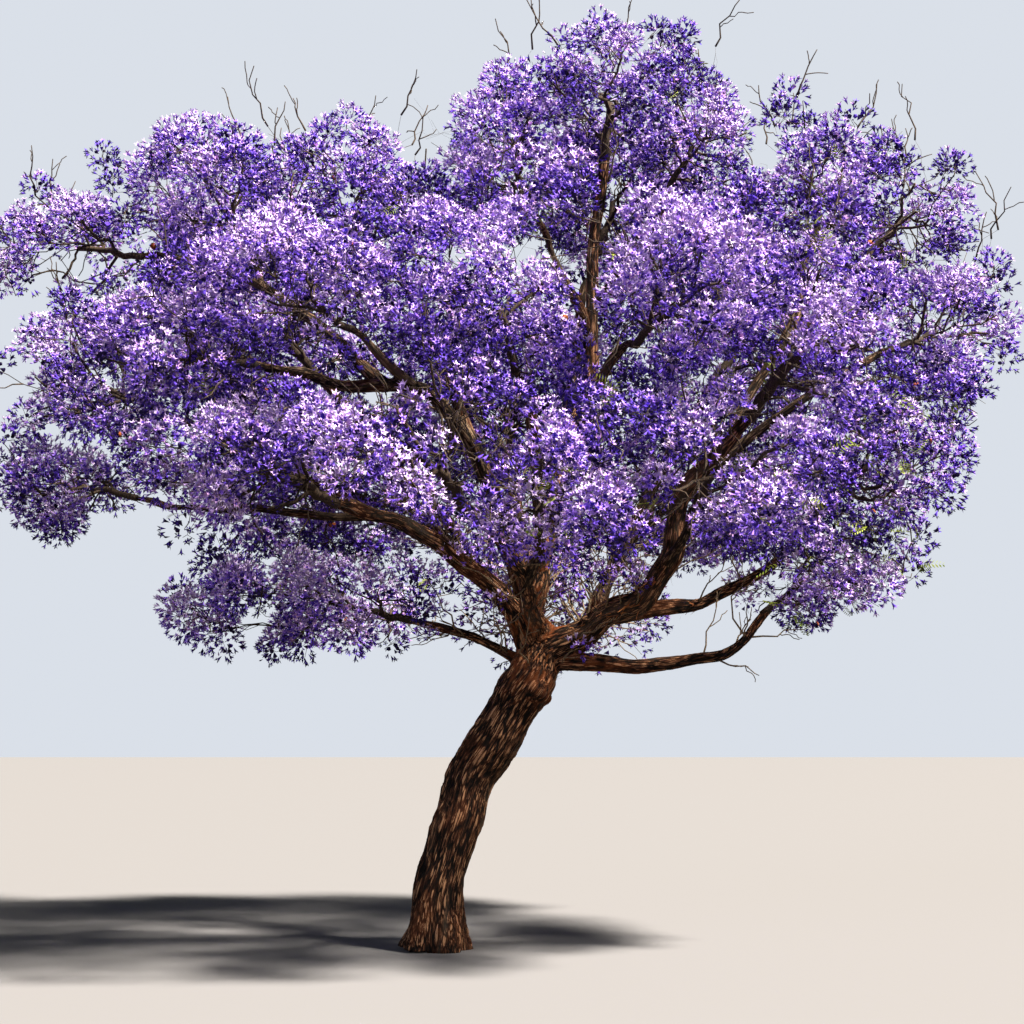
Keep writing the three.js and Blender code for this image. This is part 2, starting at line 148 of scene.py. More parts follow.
# name, parent, share along it, bends, thickness at both ends, then the mass with its middle and half sizes
boughs = [
    bough("left_limb", "trunk", 0.955, [(0.45, -0.3, 3.1), (-0.25, -0.85, 3.47)], (0.21, 0.09),
          "left_front_low", (-1.49, -1.7, 3.93), (1.01, 1.06, 0.69)),
    bough("left_under_limb", "trunk", 0.9, [(0.26, -0.06, 2.68)], (0.11, 0.06),
          "left_skirt", (-1.12, 0.05, 2.99), (1.5, 1.2, 0.53)),
    bough("centre_limb", "trunk", 0.99, [(0.92, 0.05, 3.31), (1.3, 0.25, 5.05)], (0.25, 0.09),
          "crown_top", (1.58, 0.25, 7.64), (0.9, 1.25, 0.73)),
    bough("right_limb", "trunk", 0.975, [(1.86, -0.25, 3.02), (2.15, -0.6, 3.84)], (0.29, 0.1),
          "right_mid", (3.07, -1.75, 4.92), (0.92, 1.13, 0.9)),
    bough("low_right_limb", "right_limb", 0.2, [(2.46, 0.15, 2.98)], (0.16, 0.07),
          "right_low", (3.8, -0.45, 4.16), (0.83, 1.2, 0.72)),
    bough("lowest_right_limb", "trunk", 0.925, [(1.75, -0.25, 2.4), (2.45, -0.4, 2.52)], (0.17, 0.065),
          "right_skirt", (3.24, -0.3, 3.2), (0.78, 1.2, 0.48)),
    bough("front_limb", "centre_limb", 0.09, [(0.76, -1, 3.08)], (0.17, 0.085),
          "middle_front", (-0.11, -2.7, 3.93), (0.95, 1.13, 0.74)),
    bough("front_right_bough", "front_limb", 0.45, [(0.9, -1.6, 3.22)], (0.11, 0.065),
          "centre_front", (0.88, -2.7, 3.64), (0.87, 1.13, 0.72)),
    bough("back_left_limb", "trunk", 0.945, [(0.56, 0.9, 3.13)], (0.19, 0.09),
          "back_left", (-1.8, 2.1, 6), (1.35, 1.45, 1.12)),
    bough("back_low_left_bough", "back_left_limb", 0.42, [(-0.15, 1.7, 3.9)], (0.12, 0.07),
          "back_low_left", (-1.15, 2.15, 4.25), (1.3, 1.45, 0.88)),
    bough("back_middle_limb", "centre_limb", 0.16, [(0.7, 1.15, 4.05)], (0.16, 0.08),
          "back_middle", (0.6, 2.45, 5.2), (1.35, 1.45, 1.08)),
    bough("back_right_limb", "right_limb", 0.12, [(1.5, 0.85, 3.12)], (0.19, 0.09),
          "back_right", (3.05, 2.2, 6), (1.35, 1.45, 1.15)),
    bough("back_low_right_bough", "back_right_limb", 0.42, [(1.95, 1.75, 3.8)], (0.12, 0.07),
          "back_low_right", (2.45, 2.4, 4.25), (1.35, 1.45, 0.88)),
    bough("upper_left_limb", "centre_limb", 0.17, [(0.07, -0.75, 4.56), (-0.86, -1.25, 4.64)], (0.165, 0.07),
          "left_front", (-1.98, -1.6, 4.83), (0.85, 1.06, 0.69)),
    bough("left_front_bough", "upper_left_limb", 0.42, [(-0.43, -1.25, 4.88)], (0.09, 0.055),
          "left_front_high", (-0.98, -1.85, 5.25), (0.99, 1.17, 0.74)),
    bough("left_top_bough", "upper_left_limb", 0.22, [(-0.08, -0.45, 5.3)], (0.11, 0.06),
          "left_top", (-0.8, -0.15, 6.52), (0.92, 1.3, 0.78)),
    bough("far_left_bough", "upper_left_limb", 0.5, [(-1.25, -0.55, 5.45), (-2.25, 0.05, 5.96)],
          (0.11, 0.055), "left_tip", (-3.38, 0.2, 6.15), (1.03, 1.25, 0.6)),
    bough("left_upper_bough", "far_left_bough", 0.42, [(-1.64, -0.05, 5.95)], (0.075, 0.05),
          "left_upper", (-2, 0.12, 6.6), (0.85, 1.3, 0.76)),
    bough("left_mid_bough", "left_limb", 0.55, [(-1.25, -0.7, 4.05)], (0.1, 0.055),
          "left_mid", (-2.98, -0.5, 4.82), (0.88, 1.2, 0.72)),
    bough("left_low_bough", "left_limb", 0.76, [(-1.75, -0.7, 3.62)], (0.085, 0.05),
          "left_low", (-3.2, -0.3, 3.94), (0.76, 1.06, 0.52)),
    bough("middle_bough", "centre_limb", 0.3, [(0.79, -0.85, 4.45)], (0.12, 0.065),
          "middle_high", (0.52, -1.5, 5.33), (1.02, 1.3, 0.95)),
    bough("cross_bough", "centre_limb", 0.4, [(1.48, -0.7, 4.85)], (0.12, 0.065),
          "right_front_high", (2.05, -1.85, 5.2), (1.05, 1.2, 0.98)),
    bough("top_back_bough", "centre_limb", 0.5, [(1.32, 0.95, 5.75)], (0.12, 0.065),
          "top_back", (1.7, 1.7, 7.15), (1.15, 1.3, 0.86)),
    bough("top_left_bough", "centre_limb", 0.72, [(1.05, 0.12, 6)], (0.095, 0.055),
          "top_left", (0.62, -0.1, 6.95), (0.8, 1.2, 0.82)),
    bough("top_right_bough", "centre_limb", 0.76, [(1.85, 0.22, 6.2)], (0.095, 0.055),
          "top_right", (2.36, 0.1, 7.19), (0.74, 1.2, 0.76)),
    bough("right_front_bough", "right_limb", 0.42, [(2.08, -1.1, 3.48)], (0.11, 0.065),
          "right_front", (2.2, -2.25, 3.78), (1.25, 1.13, 0.72)),
    bough("right_top_bough", "right_limb", 0.62, [(3.02, -0.35, 5.2)], (0.115, 0.06),
          "right_top", (3.48, 0.2, 6.7), (0.81, 1.3, 0.67)),
    bough("right_shoulder_bough", "right_top_bough", 0.45, [(3.56, -0.1, 5.72)], (0.075, 0.05),
          "right_shoulder", (4.23, 0.1, 6.48), (0.67, 1.17, 0.69)),
    bough("right_far_bough", "right_limb", 0.72, [(3.52, -0.55, 4.9)], (0.095, 0.055),
          "right_far", (4.52, 0, 5.37), (0.74, 1.22, 0.74)),
]


def unit(v):
    return v / np.linalg.norm(v, axis=-1, keepdims=True)


def blend(low, high, share):
    return low + (high - low) * share


fullTurn = 2 * math.pi
anyTurn = (0, 6.3)


def seededDraws(start, count):
    # the source's seeded numbers from 0 to 1, all at once
    mask = np.uint64(0xFFFFFFFF)
    s = (np.uint64(start) + np.uint64(0x6D2B79F5) * np.arange(1, count + 1, dtype=np.uint64)) & mask
    t = ((s ^ (s >> np.uint64(15))) * (s | np.uint64(1))) & mask
    t = ((t + (((t ^ (t >> np.uint64(7))) * (t | np.uint64(61))) & mask)) & mask) ^ t
    return ((t ^ (t >> np.uint64(14))) & mask) / 2 ** 32


def smoothRoute(points):
    # a smooth curve through the points, as a function of the share along it
    p = np.array(points, float)
    spans = len(p) - 1
    p = np.vstack([2 * p[0] - p[1], p, 2 * p[-1] - p[-2]])

    def at(share):
        u = np.atleast_1d(share) * spans
        k = np.minimum(u.astype(int), spans - 1)
        w = (u - k)[:, None]
        p0, p1, p2, p3 = (p[k + i] for i in range(4))
        t0, t1 = (p2 - p0) / 2, (p3 - p1) / 2
        return ((2 * p1 - 2 * p2 + t0 + t1) * w ** 3 + (3 * p2 - 3 * p1 - 2 * t0 - t1) * w ** 2
                + t0 * w + p1)
    return at


def arcRoute(a, b, c):
    def at(share):
        t = np.atleast_1d(share)[:, None]
        return a * (1 - t) ** 2 + b * 2 * t * (1 - t) + c * t ** 2
    return at


def straightRoute(a, b):
    return lambda share: a + (b - a) * np.atleast_1d(share)[:, None]


def lengthOf(at):
    return np.linalg.norm(np.diff(at(np.linspace(0, 1, 201)), axis=0), axis=1).sum()


def headingOf(at, share):
    ends = at(np.clip([share - 1e-4, share + 1e-4], 0, 1))
    return unit(ends[1] - ends[0])


def trunkRadius(along, angle=math.pi / 10):
    flare = np.exp(-along / trunkForm["flareFade"])
    lobes = 1 + trunkForm["lobeDepth"] * flare * np.cos(trunkForm["lobes"] * angle)
    crest = np.maximum(0, (along - trunkForm["crestFrom"]) / (1 - trunkForm["crestFrom"]))
    plain = blend(trunkForm["foot"], trunkForm["fork"], along)
    narrowing = (trunkForm["crest"] - trunkForm["fork"]) * crest ** 2
    return (plain + trunkForm["flare"] * flare) * lobes + narrowing


def boughRadius(thick):
    def radius(along, angle=0):
        swell = 1 + boughForm["swell"] * np.exp(-along * boughForm["fade"])
        return blend(thick[0], thick[1], along ** boughForm["taper"]) / 2 * swell
    return radius


massMiddles = np.array([row["middle"] for row in boughs], float)
massHalves = np.array([row["half"] for row in boughs], float)


def spaceOf(own):
    # the mass's ellipsoid and the borders halfway to its neighbours
    others = [other for other in boughs if other is not own]
    power = [np.prod(row["half"]) ** (2 / 3) for row in others]
    away = np.array([row["middle"] for row in others]) - own["middle"]
    far = np.linalg.norm(away, axis=1)
    reach = (far ** 2 + np.prod(own["half"]) ** (2 / 3) - power) / (2 * far) - boughForm["spaceMargin"]
    return {"middle": own["middle"], "half": own["half"], "normals": away / far[:, None], "reach": reach}


def edgeOf(space, start, direction):
    # way from a point inside a space to its border, along each direction
    local = start - space["middle"]
    p, d = local / space["half"], direction / space["half"]
    a, b = (d * d).sum(-1), (p * d).sum(-1)
    curved = (-b + np.sqrt(b * b - a * ((p * p).sum() - 1))) / a
    toward = direction @ space["normals"].T
    room = space["reach"] - space["normals"] @ local
    straight = np.where(toward > 0, room / np.where(toward > 0, toward, 1), np.inf)
    return np.minimum(curved, straight.min(-1))


def tipOf(row, space):
    away = np.array(row["via"][-1]) - space["middle"]
    far = np.linalg.norm(away)
    reach = min(boughForm["tipDepth"] * edgeOf(space, space["middle"], away / far),
                boughForm["tipShare"] * far)
    return space["middle"] + away / far * reach


def layOutLimbs():
    limbs = {"trunk": {"name": "trunk", "at": smoothRoute(trunkForm["route"]), "radius": trunkRadius}}
    for row in boughs:
        row["space"] = spaceOf(row)
        start = limbs[row["parent"]]["at"](row["at"])[0]
        points = [start, *row["via"], tipOf(row, row["space"])]
        limbs[row["name"]] = {"name": row["name"], "at": smoothRoute(points),
                              "radius": boughRadius(row["thick"])}
    return limbs


def beadsOf(limbs):
    centres, radii = [], []
    for limb in limbs.values():
        share = np.linspace(0, 1, math.ceil(lengthOf(limb["at"]) / boughForm["beadStep"]) + 1)
        centres.append(limb["at"](share))
        radii.append(limb["radius"](share) * np.ones(len(share)))
    return np.vstack(centres), np.concatenate(radii)


def sprayReach(axes, reach, direction):
    along = axes @ direction
    return np.max(np.abs(along) * np.where(along > 0, reach[0::2], reach[1::2]))


def outsideSpray(centre, axes, reach, points):
    # how far points lie outside a spray, at the least
    along = (points - centre) @ axes.T
    used = np.where(along > 0, reach[0::2], reach[1::2])
    return (np.abs(along / used).sum(-1) - 1) / np.sqrt((1 / used ** 2).sum(-1))


def placeSprays(space, heart, beads, stemPoints, seed, form=sprayForm, taken=()):
    # seeded sprays that clear the limbs, the stem and each other, nearest to the heart first
    draw = seededDraws(seed, form["tries"] * 10).reshape(-1, 10)
    turn, rise = fullTurn * draw[:, 0], 2 * draw[:, 1] - 1
    flat = np.sqrt(1 - rise ** 2)
    out = np.stack([flat * np.cos(turn), flat * np.sin(turn), rise], 1)
    depth = blend(form["depth"][0], form["depth"][1], draw[:, 2])
    far = heart + out * (depth * edgeOf(space, heart, out))[:, None]
    outward = unit(far - form["crownMiddle"])
    direction = unit(out + (0, 0, form["upturn"]))
    centre = far - direction * form["out"]
    side = unit(np.stack([-direction[:, 1], direction[:, 0], np.full(len(far), 1e-3)], 1))
    up = unit(np.cross(side, direction))
    roll = (math.pi * draw[:, 3])[:, None]
    wide = side * np.cos(roll) + up * np.sin(roll)
    axes = np.stack([direction, wide, unit(np.cross(direction, wide))], 1)
    plain = [form[key] for key in ("out", "back", "wide", "wide", "flat", "flat")]
    reach = np.array(plain) * (1 + form["spread"] * (2 * draw[:, 4:] - 1))
    ends = np.stack([reach[:, 0::2], -reach[:, 1::2]], 2)
    corners = centre[:, None] + (axes[:, :, None] * ends[..., None]).reshape(-1, 6, 3)
    local = corners - space["middle"]
    fits = (out * outward).sum(1) > form["outwardLeast"]
    fits &= (np.linalg.norm(local / space["half"], axis=2) <= form["cornerSlack"]).all(1)
    fits &= (local @ space["normals"].T <= space["reach"] + form["borderSlack"]).all((1, 2))
    if form["between"]:
        away = (centre[:, None] - massMiddles) / massHalves
        fits &= (np.linalg.norm(away, axis=2) <= form["between"]).sum(1) > 1
    sprays = []
    for i in np.flatnonzero(fits):
        item = {"centre": centre[i], "axes": axes[i], "reach": reach[i], "small": form is not sprayForm}
        if not all(apart(item, other) for other in [*taken, *sprays]):
            continue
        if (outsideSpray(centre[i], axes[i], reach[i], beads[0]) <= beads[1] + form["limbMargin"]).any():
            continue
        if (outsideSpray(centre[i], axes[i], reach[i], stemPoints) <= form["stemMargin"]).any():
            continue
        sprays.append(item)
    return sorted(sprays, key=lambda item: np.linalg.norm(item["centre"] - heart))


def apart(one, other):
    away = other["centre"] - one["centre"]
    far = np.linalg.norm(away)
    away = away / far
    taken = sprayReach(one["axes"], one["reach"], away) + sprayReach(other["axes"], other["reach"], -away)
    return taken + sprayForm["sprayMargin"] < far


def twigClear(start, item, beads, sprays):
    line = item["centre"] - start
    share = np.clip((beads[0] - start) @ line / (line @ line), 0, 1)
    near = start + share[:, None] * line
    room = np.linalg.norm(near - beads[0], axis=1) - beads[1]
    if (room <= 2 * twigForm["tip"] + sprayForm["limbMargin"]).any():
        return False
    points = start + np.array(twigForm["checks"])[:, None] * line
    return all(other is item or (outsideSpray(other["centre"], other["axes"], other["reach"], points)
                                 > 2 * twigForm["tip"]).all() for other in sprays)


def forksAlong(branch, last, path):
    length = branch["length"]
    count = math.floor((last - twigForm["firstFork"]) * length / twigForm["forkStep"])
    shares = [last - i * twigForm["forkStep"] / length for i in range(count + 1)]
    return [{"point": branch["at"](share)[0], "share": share, "way": path + share * length, "branch": branch}
            for share in shares]


def growMass(row, limb, beads, number):
    # a stem from the bough's tip, then a twig to each spray from the nearest free fork
    form, space = twigForm, row["space"]
    tip, heading = limb["at"](1)[0], headingOf(limb["at"], 1)
    heart = blend(tip, space["middle"], form["heartDepth"])
    start = tip + heading * form["gap"]
    bend = start + heading * form["stemBend"] * np.linalg.norm(tip - heart)
    stem = {"at": arcRoute(start, bend, heart), "load": 1, "fork": None, "spray": None}
    stem["length"] = lengthOf(stem["at"])
    forks = forksAlong(stem, 1, 0)
    stemPoints = np.array([fork["point"] for fork in forks])
    sprays = placeSprays(space, heart, beads, stemPoints, sprayForm["seed"] + number)
    twigs, forks = growTwigs(sprays, forks, beads, sprays)
    small = placeSprays(space, heart, beads, stemPoints, fillForm["seed"] + number, fillForm, sprays)
    between = bridgeReach.get(row["mass"], bridgeForm["between"])
    if between:
        bridge = dict(bridgeForm, between=between)
        small += placeSprays(space, heart, beads, stemPoints, bridge["seed"] + number, bridge, sprays + small)
    more, forks = growTwigs(small, forks, beads, [])
    setThickness(stem, twigs + more, float(limb["radius"](1.0)))
    return stem, twigs + more


def growTwigs(sprays, forks, beads, others):
    form, twigs = twigForm, []
    for item in sprays:
        forks.sort(key=lambda f: np.linalg.norm(f["point"] - item["centre"]) + form["pathCost"] * f["way"])
        chosen = next((f for f in forks if twigClear(f["point"], item, beads, others)), None)
        if chosen is None:
            continue
        forks = [fork for fork in forks if fork is not chosen]
        at = straightRoute(chosen["point"], item["centre"])
        twig = {"at": at, "load": 1, "fork": chosen, "spray": item, "length": lengthOf(at)}
        twigs.append(twig)
        up = chosen
        while up:
            up["branch"]["load"] += 1
            up = up["branch"]["fork"]
        share = 1 - 1.1 * sprayForm["back"] / twig["length"]
        if share > form["firstFork"]:
            forks += forksAlong(twig, share, chosen["way"])
    return twigs, forks


def setThickness(stem, twigs, tipRadius):
    low, high = (share * tipRadius for share in twigForm["stemTaper"])
    stem["thick"] = (low, min(high, twigForm["tip"] * stem["load"] ** twigForm["power"]))
    for twig in twigs:
        under = blend(*twig["fork"]["branch"]["thick"], twig["fork"]["share"])
        root = min(twigForm["tip"] * twig["load"] ** twigForm["power"], twigForm["rootShare"] * under)
        twig["thick"] = (root, min(root, twigForm["tip"]))


limbs = layOutLimbs()
beads = beadsOf(limbs)
masses = []
for number, row in enumerate(boughs):
    stem, twigs = growMass(row, limbs[row["name"]], beads, number)
    masses.append({"row": row, "stem": stem, "twigs": twigs})
small = sum(twig["spray"]["small"] for mass in masses for twig in mass["twigs"])
print("skeleton:", sum(len(mass["twigs"]) for mass in masses) - small, "sprays and", small, "small ones")

# Crooked wood: every branch wanders a little about its plain route

woodForm = {
    # length of each wave, then its sway in metres and as a share of the thickness
    "waves": [(0.85, 0.055, 0.35), (0.3, 0.02, 0.1)],
    "trunkHold": 0.35,
    "settle": 0.25,  # share in which a bough leaves its parent's sway
    "stemSteps": 8,
    "stemWander": 0.07,
    "stemRoot": 0.06,  # how far a stem reaches back into its bough
    "twigSteps": 6,
    "smallSteps": 4,
    "twigWander": 0.14,
    "swell": 1.25,  # against the plain rule, for the knots and bark
    "seed": 77,
}


def crook(path, amount, draw):
    # makes a way wander, its ends kept
    share = np.linspace(0, 1, len(path))[:, None]
    drift = draw.normal(size=path.shape).cumsum(0)
    drift -= drift[0] + (drift[-1] - drift[0]) * share
    return path + drift * amount * np.linalg.norm(path[-1] - path[0]) / math.sqrt(len(path))


def straightPath(start, end, steps):
    return start + (end - start) * np.linspace(0, 1, steps + 1)[:, None]


def alongPath(path, share):
    place = min(max(share, 0), 1) * (len(path) - 1)
    k = min(int(place), len(path) - 2)
    return blend(path[k], path[k + 1], place - k)


def bendLimb(limb, number, rootSway):
    # sideways waves that keep the tip, and the start on the parent
    def at(share):
        share = np.atleast_1d(share)
        points = limb["at"](share)
        for i, s in enumerate(share):
            hold = min(1, 5 * s, 5 * (1 - s)) * (woodForm["trunkHold"] if limb["name"] == "trunk" else 1)
            for wave, sway, part in woodForm["waves"]:
                place = Vector((s * limb["length"] / wave, number * 3.7, wave * 9))
                drift = np.array([noise.noise(place + Vector((0, 0, shift))) for shift in (0, 17.3, 31.9)])
                points[i] += drift * hold * (sway + 2 * part * float(limb["radius"](s)))
            points[i] += rootSway * max(0, 1 - s / woodForm["settle"]) ** 2
        return points
    return at


parentOf = {row["name"]: row for row in boughs}
for number, limb in enumerate(limbs.values()):
    limb["length"] = lengthOf(limb["at"])
    rootSway = np.zeros(3)
    if limb["name"] in parentOf:
        row = parentOf[limb["name"]]
        parent = limbs[row["parent"]]
        rootSway = (parent["crooked"](row["at"]) - parent["at"](row["at"]))[0]
    limb["crooked"] = bendLimb(limb, number, rootSway)

draw = np.random.default_rng(woodForm["seed"])
branches = {"stem": [], "twig": [], "small": []}  # the path of each with its radii
for mass in masses:
    stem = mass["stem"]
    plain = stem["at"](np.linspace(0, 1, woodForm["stemSteps"] + 1))
    stem["path"] = crook(plain, woodForm["stemWander"], draw)
    root = stem["path"][0] - unit(stem["path"][1] - stem["path"][0]) * woodForm["stemRoot"]
    stem["thick"] = tuple(woodForm["swell"] * radius for radius in stem["thick"])
    branches["stem"].append((np.vstack([root, stem["path"]]), stem["thick"]))
    for twig in mass["twigs"]:
        fork = twig["fork"]
        start = alongPath(fork["branch"]["path"], fork["share"])
        isSmall = twig["spray"]["small"]
        steps = woodForm["smallSteps" if isSmall else "twigSteps"]
        plain = straightPath(start, twig["spray"]["centre"], steps)
        twig["path"] = crook(plain, woodForm["twigWander"], draw)
        twig["thick"] = tuple(woodForm["swell"] * radius for radius in twig["thick"])
        branches["small" if isSmall else "twig"].append((twig["path"], twig["thick"]))
print("wood:", {kind: len(rows) for kind, rows in branches.items()})

# Heads of flowers: inside each spray the twig forks on, and each fork carries one domed head

headForm = {
    "perSpray": 5,
    "perSmall": 1,
    "inner": 0.52,  # middle of a head, as a share of the spray's reach
    "backward": -0.4,  # no head lies further back than this
    "upturn": 0.6,
    "radius": 0.155,
    "spread": (0.8, 1.2),
    "stalk": (0.0052, 0.003),
    "stalkSteps": 3,
    "stalkWander": 0.12,
    "side": 0.0022,
    "sideStalks": 3,
    "sideSeed": 8,
    "forkFrom": 0.35,
    "overBox": (0.1, 0.1, 0.01),  # how far a head may stand out of the box of the solids
    "seed": 31,
}


def growHeads(twig, bloom, draw):
    form, item = headForm, twig["spray"]
    count = max(1, round((form["perSmall"] if item["small"] else form["perSpray"]) * bloom))
    if draw.uniform() > bloom * 1.2:
        return []
    turn = draw.uniform(0, fullTurn)
    forks = list(np.linspace(form["forkFrom"], 1, count + 2))
    lift = np.array([0, 0, form["upturn"]])
    toneAndShade = draw.normal()
    made = []
    for i in range(count):
        along = 1 - (i + 0.5) / count * (1 - form["backward"])
        across = math.sqrt(1 - along * along)
        angle = turn + i * math.pi * (3 - math.sqrt(5)) + draw.normal() * 0.25
        local = np.array([along, across * math.cos(angle), across * math.sin(angle)])
        used = np.where(local > 0, item["reach"][0::2], item["reach"][1::2])
        middle = item["centre"] + (local * used * form["inner"] * draw.uniform(0.85, 1.1)) @ item["axes"]
        axis = unit((local * used) @ item["axes"] / 0.3 + lift + draw.normal(size=3) * 0.2)
        far = [np.linalg.norm(alongPath(twig["path"], share) - middle) for share in forks]
        start = alongPath(twig["path"], forks.pop(int(np.argmin(far))))
        path = crook(straightPath(start, middle, form["stalkSteps"]), form["stalkWander"], draw)
        # heads of small sprays are made much darker, as painted shade deep in the crown; the rest of the
        # value is the head's own random tone
        made.append({"middle": middle, "axis": axis, "path": path, "toneAndShade": toneAndShade - 3 * item["small"],
                     "radius": form["radius"] * draw.uniform(*form["spread"])})
    return made


# share of blossom on the masses that carry less of it
bloomOf = {"right_shoulder": 0.62, "right_top": 0.8, "right_far": 0.75, "left_tip": 0.78, "right_skirt": 0.7,
           "crown_top": 0.66, "top_right": 0.78, "top_left": 0.85, "left_top": 0.85, "right_low": 0.85}

# stretches of the limbs that are seen clear of blossom, by their shares
clearLimbs = [
    ("left_limb", 0.35, 0.85), ("left_low_bough", 0, 0.3), ("upper_left_limb", 0.2, 1),
    ("left_front_bough", 0.1, 0.9), ("far_left_bough", 0.25, 0.45), ("far_left_bough", 0.78, 1),
    ("centre_limb", 0, 0.2), ("centre_limb", 0.74, 0.97), ("top_left_bough", 0.4, 1), ("cross_bough", 0.5, 1),
    ("right_limb", 0.3, 0.72), ("right_limb", 0.84, 1), ("right_far_bough", 0, 0.35),
    ("right_far_bough", 0.6, 0.75), ("right_top_bough", 0.35, 0.55), ("low_right_limb", 0.1, 0.7),
]
clearForm = {
    "seenFrom": (0.667, -16, 1.742),
    "margin": 0.1,
    "points": 24,
    "branchMargin": 0.025,
    "branchSpan": (0.1, 0.75, 8),
    "stout": 0.013,
    "bareShare": 0.6,
    "ragged": (0.75, 1.15),  # edge of an opening, as a share of its size
    "seed": 3,
}


def bareStretches():
    # points and radii of the branches that stay clear: the limbs named above, and some stouter branches
    form, draw = clearForm, np.random.default_rng(clearForm["seed"])
    for name, low, high in clearLimbs:
        shares = np.linspace(low, high, form["points"])
        yield limbs[name]["crooked"](shares), limbs[name]["radius"](shares) + form["margin"]
    for path, thick in branches["stem"] + branches["twig"] + branches["small"]:
        if draw.uniform() < form["bareShare"] and thick[0] > form["stout"]:
            shares = np.linspace(*form["branchSpan"])
            points = np.array([alongPath(path, share) for share in shares])
            yield points, blend(*thick, shares) + form["branchMargin"]


def hidesLimb(middles):
    # which heads stand in front of a stretch that is seen bare
    eye = np.array(clearForm["seenFrom"])
    hides = np.zeros(len(middles), bool)
    for points, room in bareStretches():
        way = points - eye
        far = np.linalg.norm(way, axis=1)
        along = (middles - eye) @ (way / far[:, None]).T
        aside = np.sqrt(np.maximum(0, ((middles - eye) ** 2).sum(1)[:, None] - along ** 2))
        hides |= ((aside < room) & (along < far)).any(1)
    return hides


# openings between the domes of the crown: middle and half size on the upright plane of the trunk
openings = {
    "left of the top": (-0.2, 7.27, 0.4, 0.37),
    "left side of the top": (0.78, 8.06, 0.36, 0.26),
    "right side of the top": (2.58, 7.92, 0.3, 0.49),
    "right of the top": (2.95, 6.98, 0.22, 0.34),
    "above the right dome": (4.17, 7.2, 0.38, 0.2),
    "right shoulder": (4.88, 6.26, 0.26, 0.37),
    "under the left tip": (-3.32, 5.86, 0.45, 0.17),
    "low left tip": (-3.65, 4.85, 0.25, 0.33),
    "middle of the crown": (0.74, 5.99, 0.22, 0.2),
    "above the left dome": (-1.36, 7.22, 0.31, 0.2),
}


def seenInOpening(places, draw):
    # which places lie in an opening as seen from the front
    eye = np.array(clearForm["seenFrom"])
    onPlane = eye + (places - eye) * (-eye[1] / (places[:, 1] - eye[1]))[:, None]
    seen = np.zeros(len(places), bool)
    for x, z, wide, high in openings.values():
        apart = np.hypot((onPlane[:, 0] - x) / wide, (onPlane[:, 2] - z) / high)
        seen |= apart < draw.uniform(*clearForm["ragged"], len(places))
    return seen


def staysInside(head):
    # no head reaches far out of the box of the solids
    low, high = (np.array(list(corner)) for corner in cadBox)
    reach = head["radius"] * 1.1 - np.array(headForm["overBox"])
    return (head["middle"] - reach > low).all() and (head["middle"] + reach < high).all()


draw = np.random.default_rng(headForm["seed"])
heads = []
for mass in masses:
    bloom = bloomOf.get(mass["row"]["mass"], 1)
    for twig in mass["twigs"]:
        heads += growHeads(twig, bloom, draw)
heads = [head for head in heads if staysInside(head)]
middles = np.array([head["middle"] for head in heads])
hidden = hidesLimb(middles)
opened = seenInOpening(middles, draw)
heads = [head for head, gone in zip(heads, hidden | opened) if not gone]
print("heads:", len(heads), "after leaving out", int((hidden | opened).sum()))

# Bare wood: short spurs on the twigs, shoots about the fork, and dry twigs that stand out at the top

bareForm = {
    "spurs": (2, 1),  # on the first twigs and on the small ones
    "over": 0.16,  # how far twigs may stand out of the box of the solids
    "spurLength": (0.14, 0.34),
    "spurThick": (0.008, 0.004),
    # where shoots stand on a limb, and how many to the metre
    "shoots": {"trunk": (0.86, 0.97, 7), "centre_limb": (0.02, 0.32, 7), "left_limb": (0.1, 0.6, 7),
               "left_under_limb": (0.12, 0.75, 10), "front_limb": (0.15, 0.6, 6),
               "right_limb": (0.06, 0.5, 7), "low_right_limb": (0.1, 0.7, 7),
               "lowest_right_limb": (0.2, 0.85, 4), "upper_left_limb": (0.1, 0.4, 7),
               "back_left_limb": (0.08, 0.75, 19),
               "back_middle_limb": (0.06, 0.8, 20), "back_right_limb": (0.06, 0.75, 19),
               "back_low_left_bough": (0.1, 0.8, 13), "back_low_right_bough": (0.1, 0.8, 13)},
    "shootLength": (0.25, 0.75),
    "shootThick": (0.009, 0.0035),
    "shootBloom": (0.4, 0.95),  # share with a head of flowers, on the near limbs and at the back
    "shootHead": (0.1, 0.15),
    "dry": {"left_upper": 5, "left_top": 6, "top_right": 3, "right_top": 4, "right_shoulder": 4,
            "top_left": 3, "right_far": 3, "left_tip": 3, "crown_top": 2, "right_mid": 2, "middle_high": 2},
    "dryLength": (0.38, 0.55),
    "dryThick": (0.009, 0.004),
    "steps": 5,
    "wander": 0.13,
    "spurSteps": 3,
    "spurWander": 0.16,
    "seed": 63,
}


def anyDirection(draw):
    return unit(draw.normal(size=3))


def heldIn(point):
    low, high = (np.array(list(corner)) for corner in cadBox)
    return np.clip(point, low - bareForm["over"], high + bareForm["over"])


def forkedTwig(kind, start, end, thick, draw):
    # a crooked bare twig with two side twigs
    form = bareForm
    path = crook(straightPath(start, end, form["steps"]), form["wander"], draw)
    branches[kind].append((path, thick))
    for share in (draw.uniform(0.3, 0.5), draw.uniform(0.55, 0.8)):
        root = alongPath(path, share)
        away = unit(unit(end - start) + anyDirection(draw) * 0.9)
        reach = np.linalg.norm(end - start) * draw.uniform(0.25, 0.5)
        radius = blend(*thick, share) * 0.8
        side = crook(straightPath(root, heldIn(root + away * reach), form["steps"]), form["wander"], draw)
        branches[kind].append((side, (radius, thick[1])))
    return path


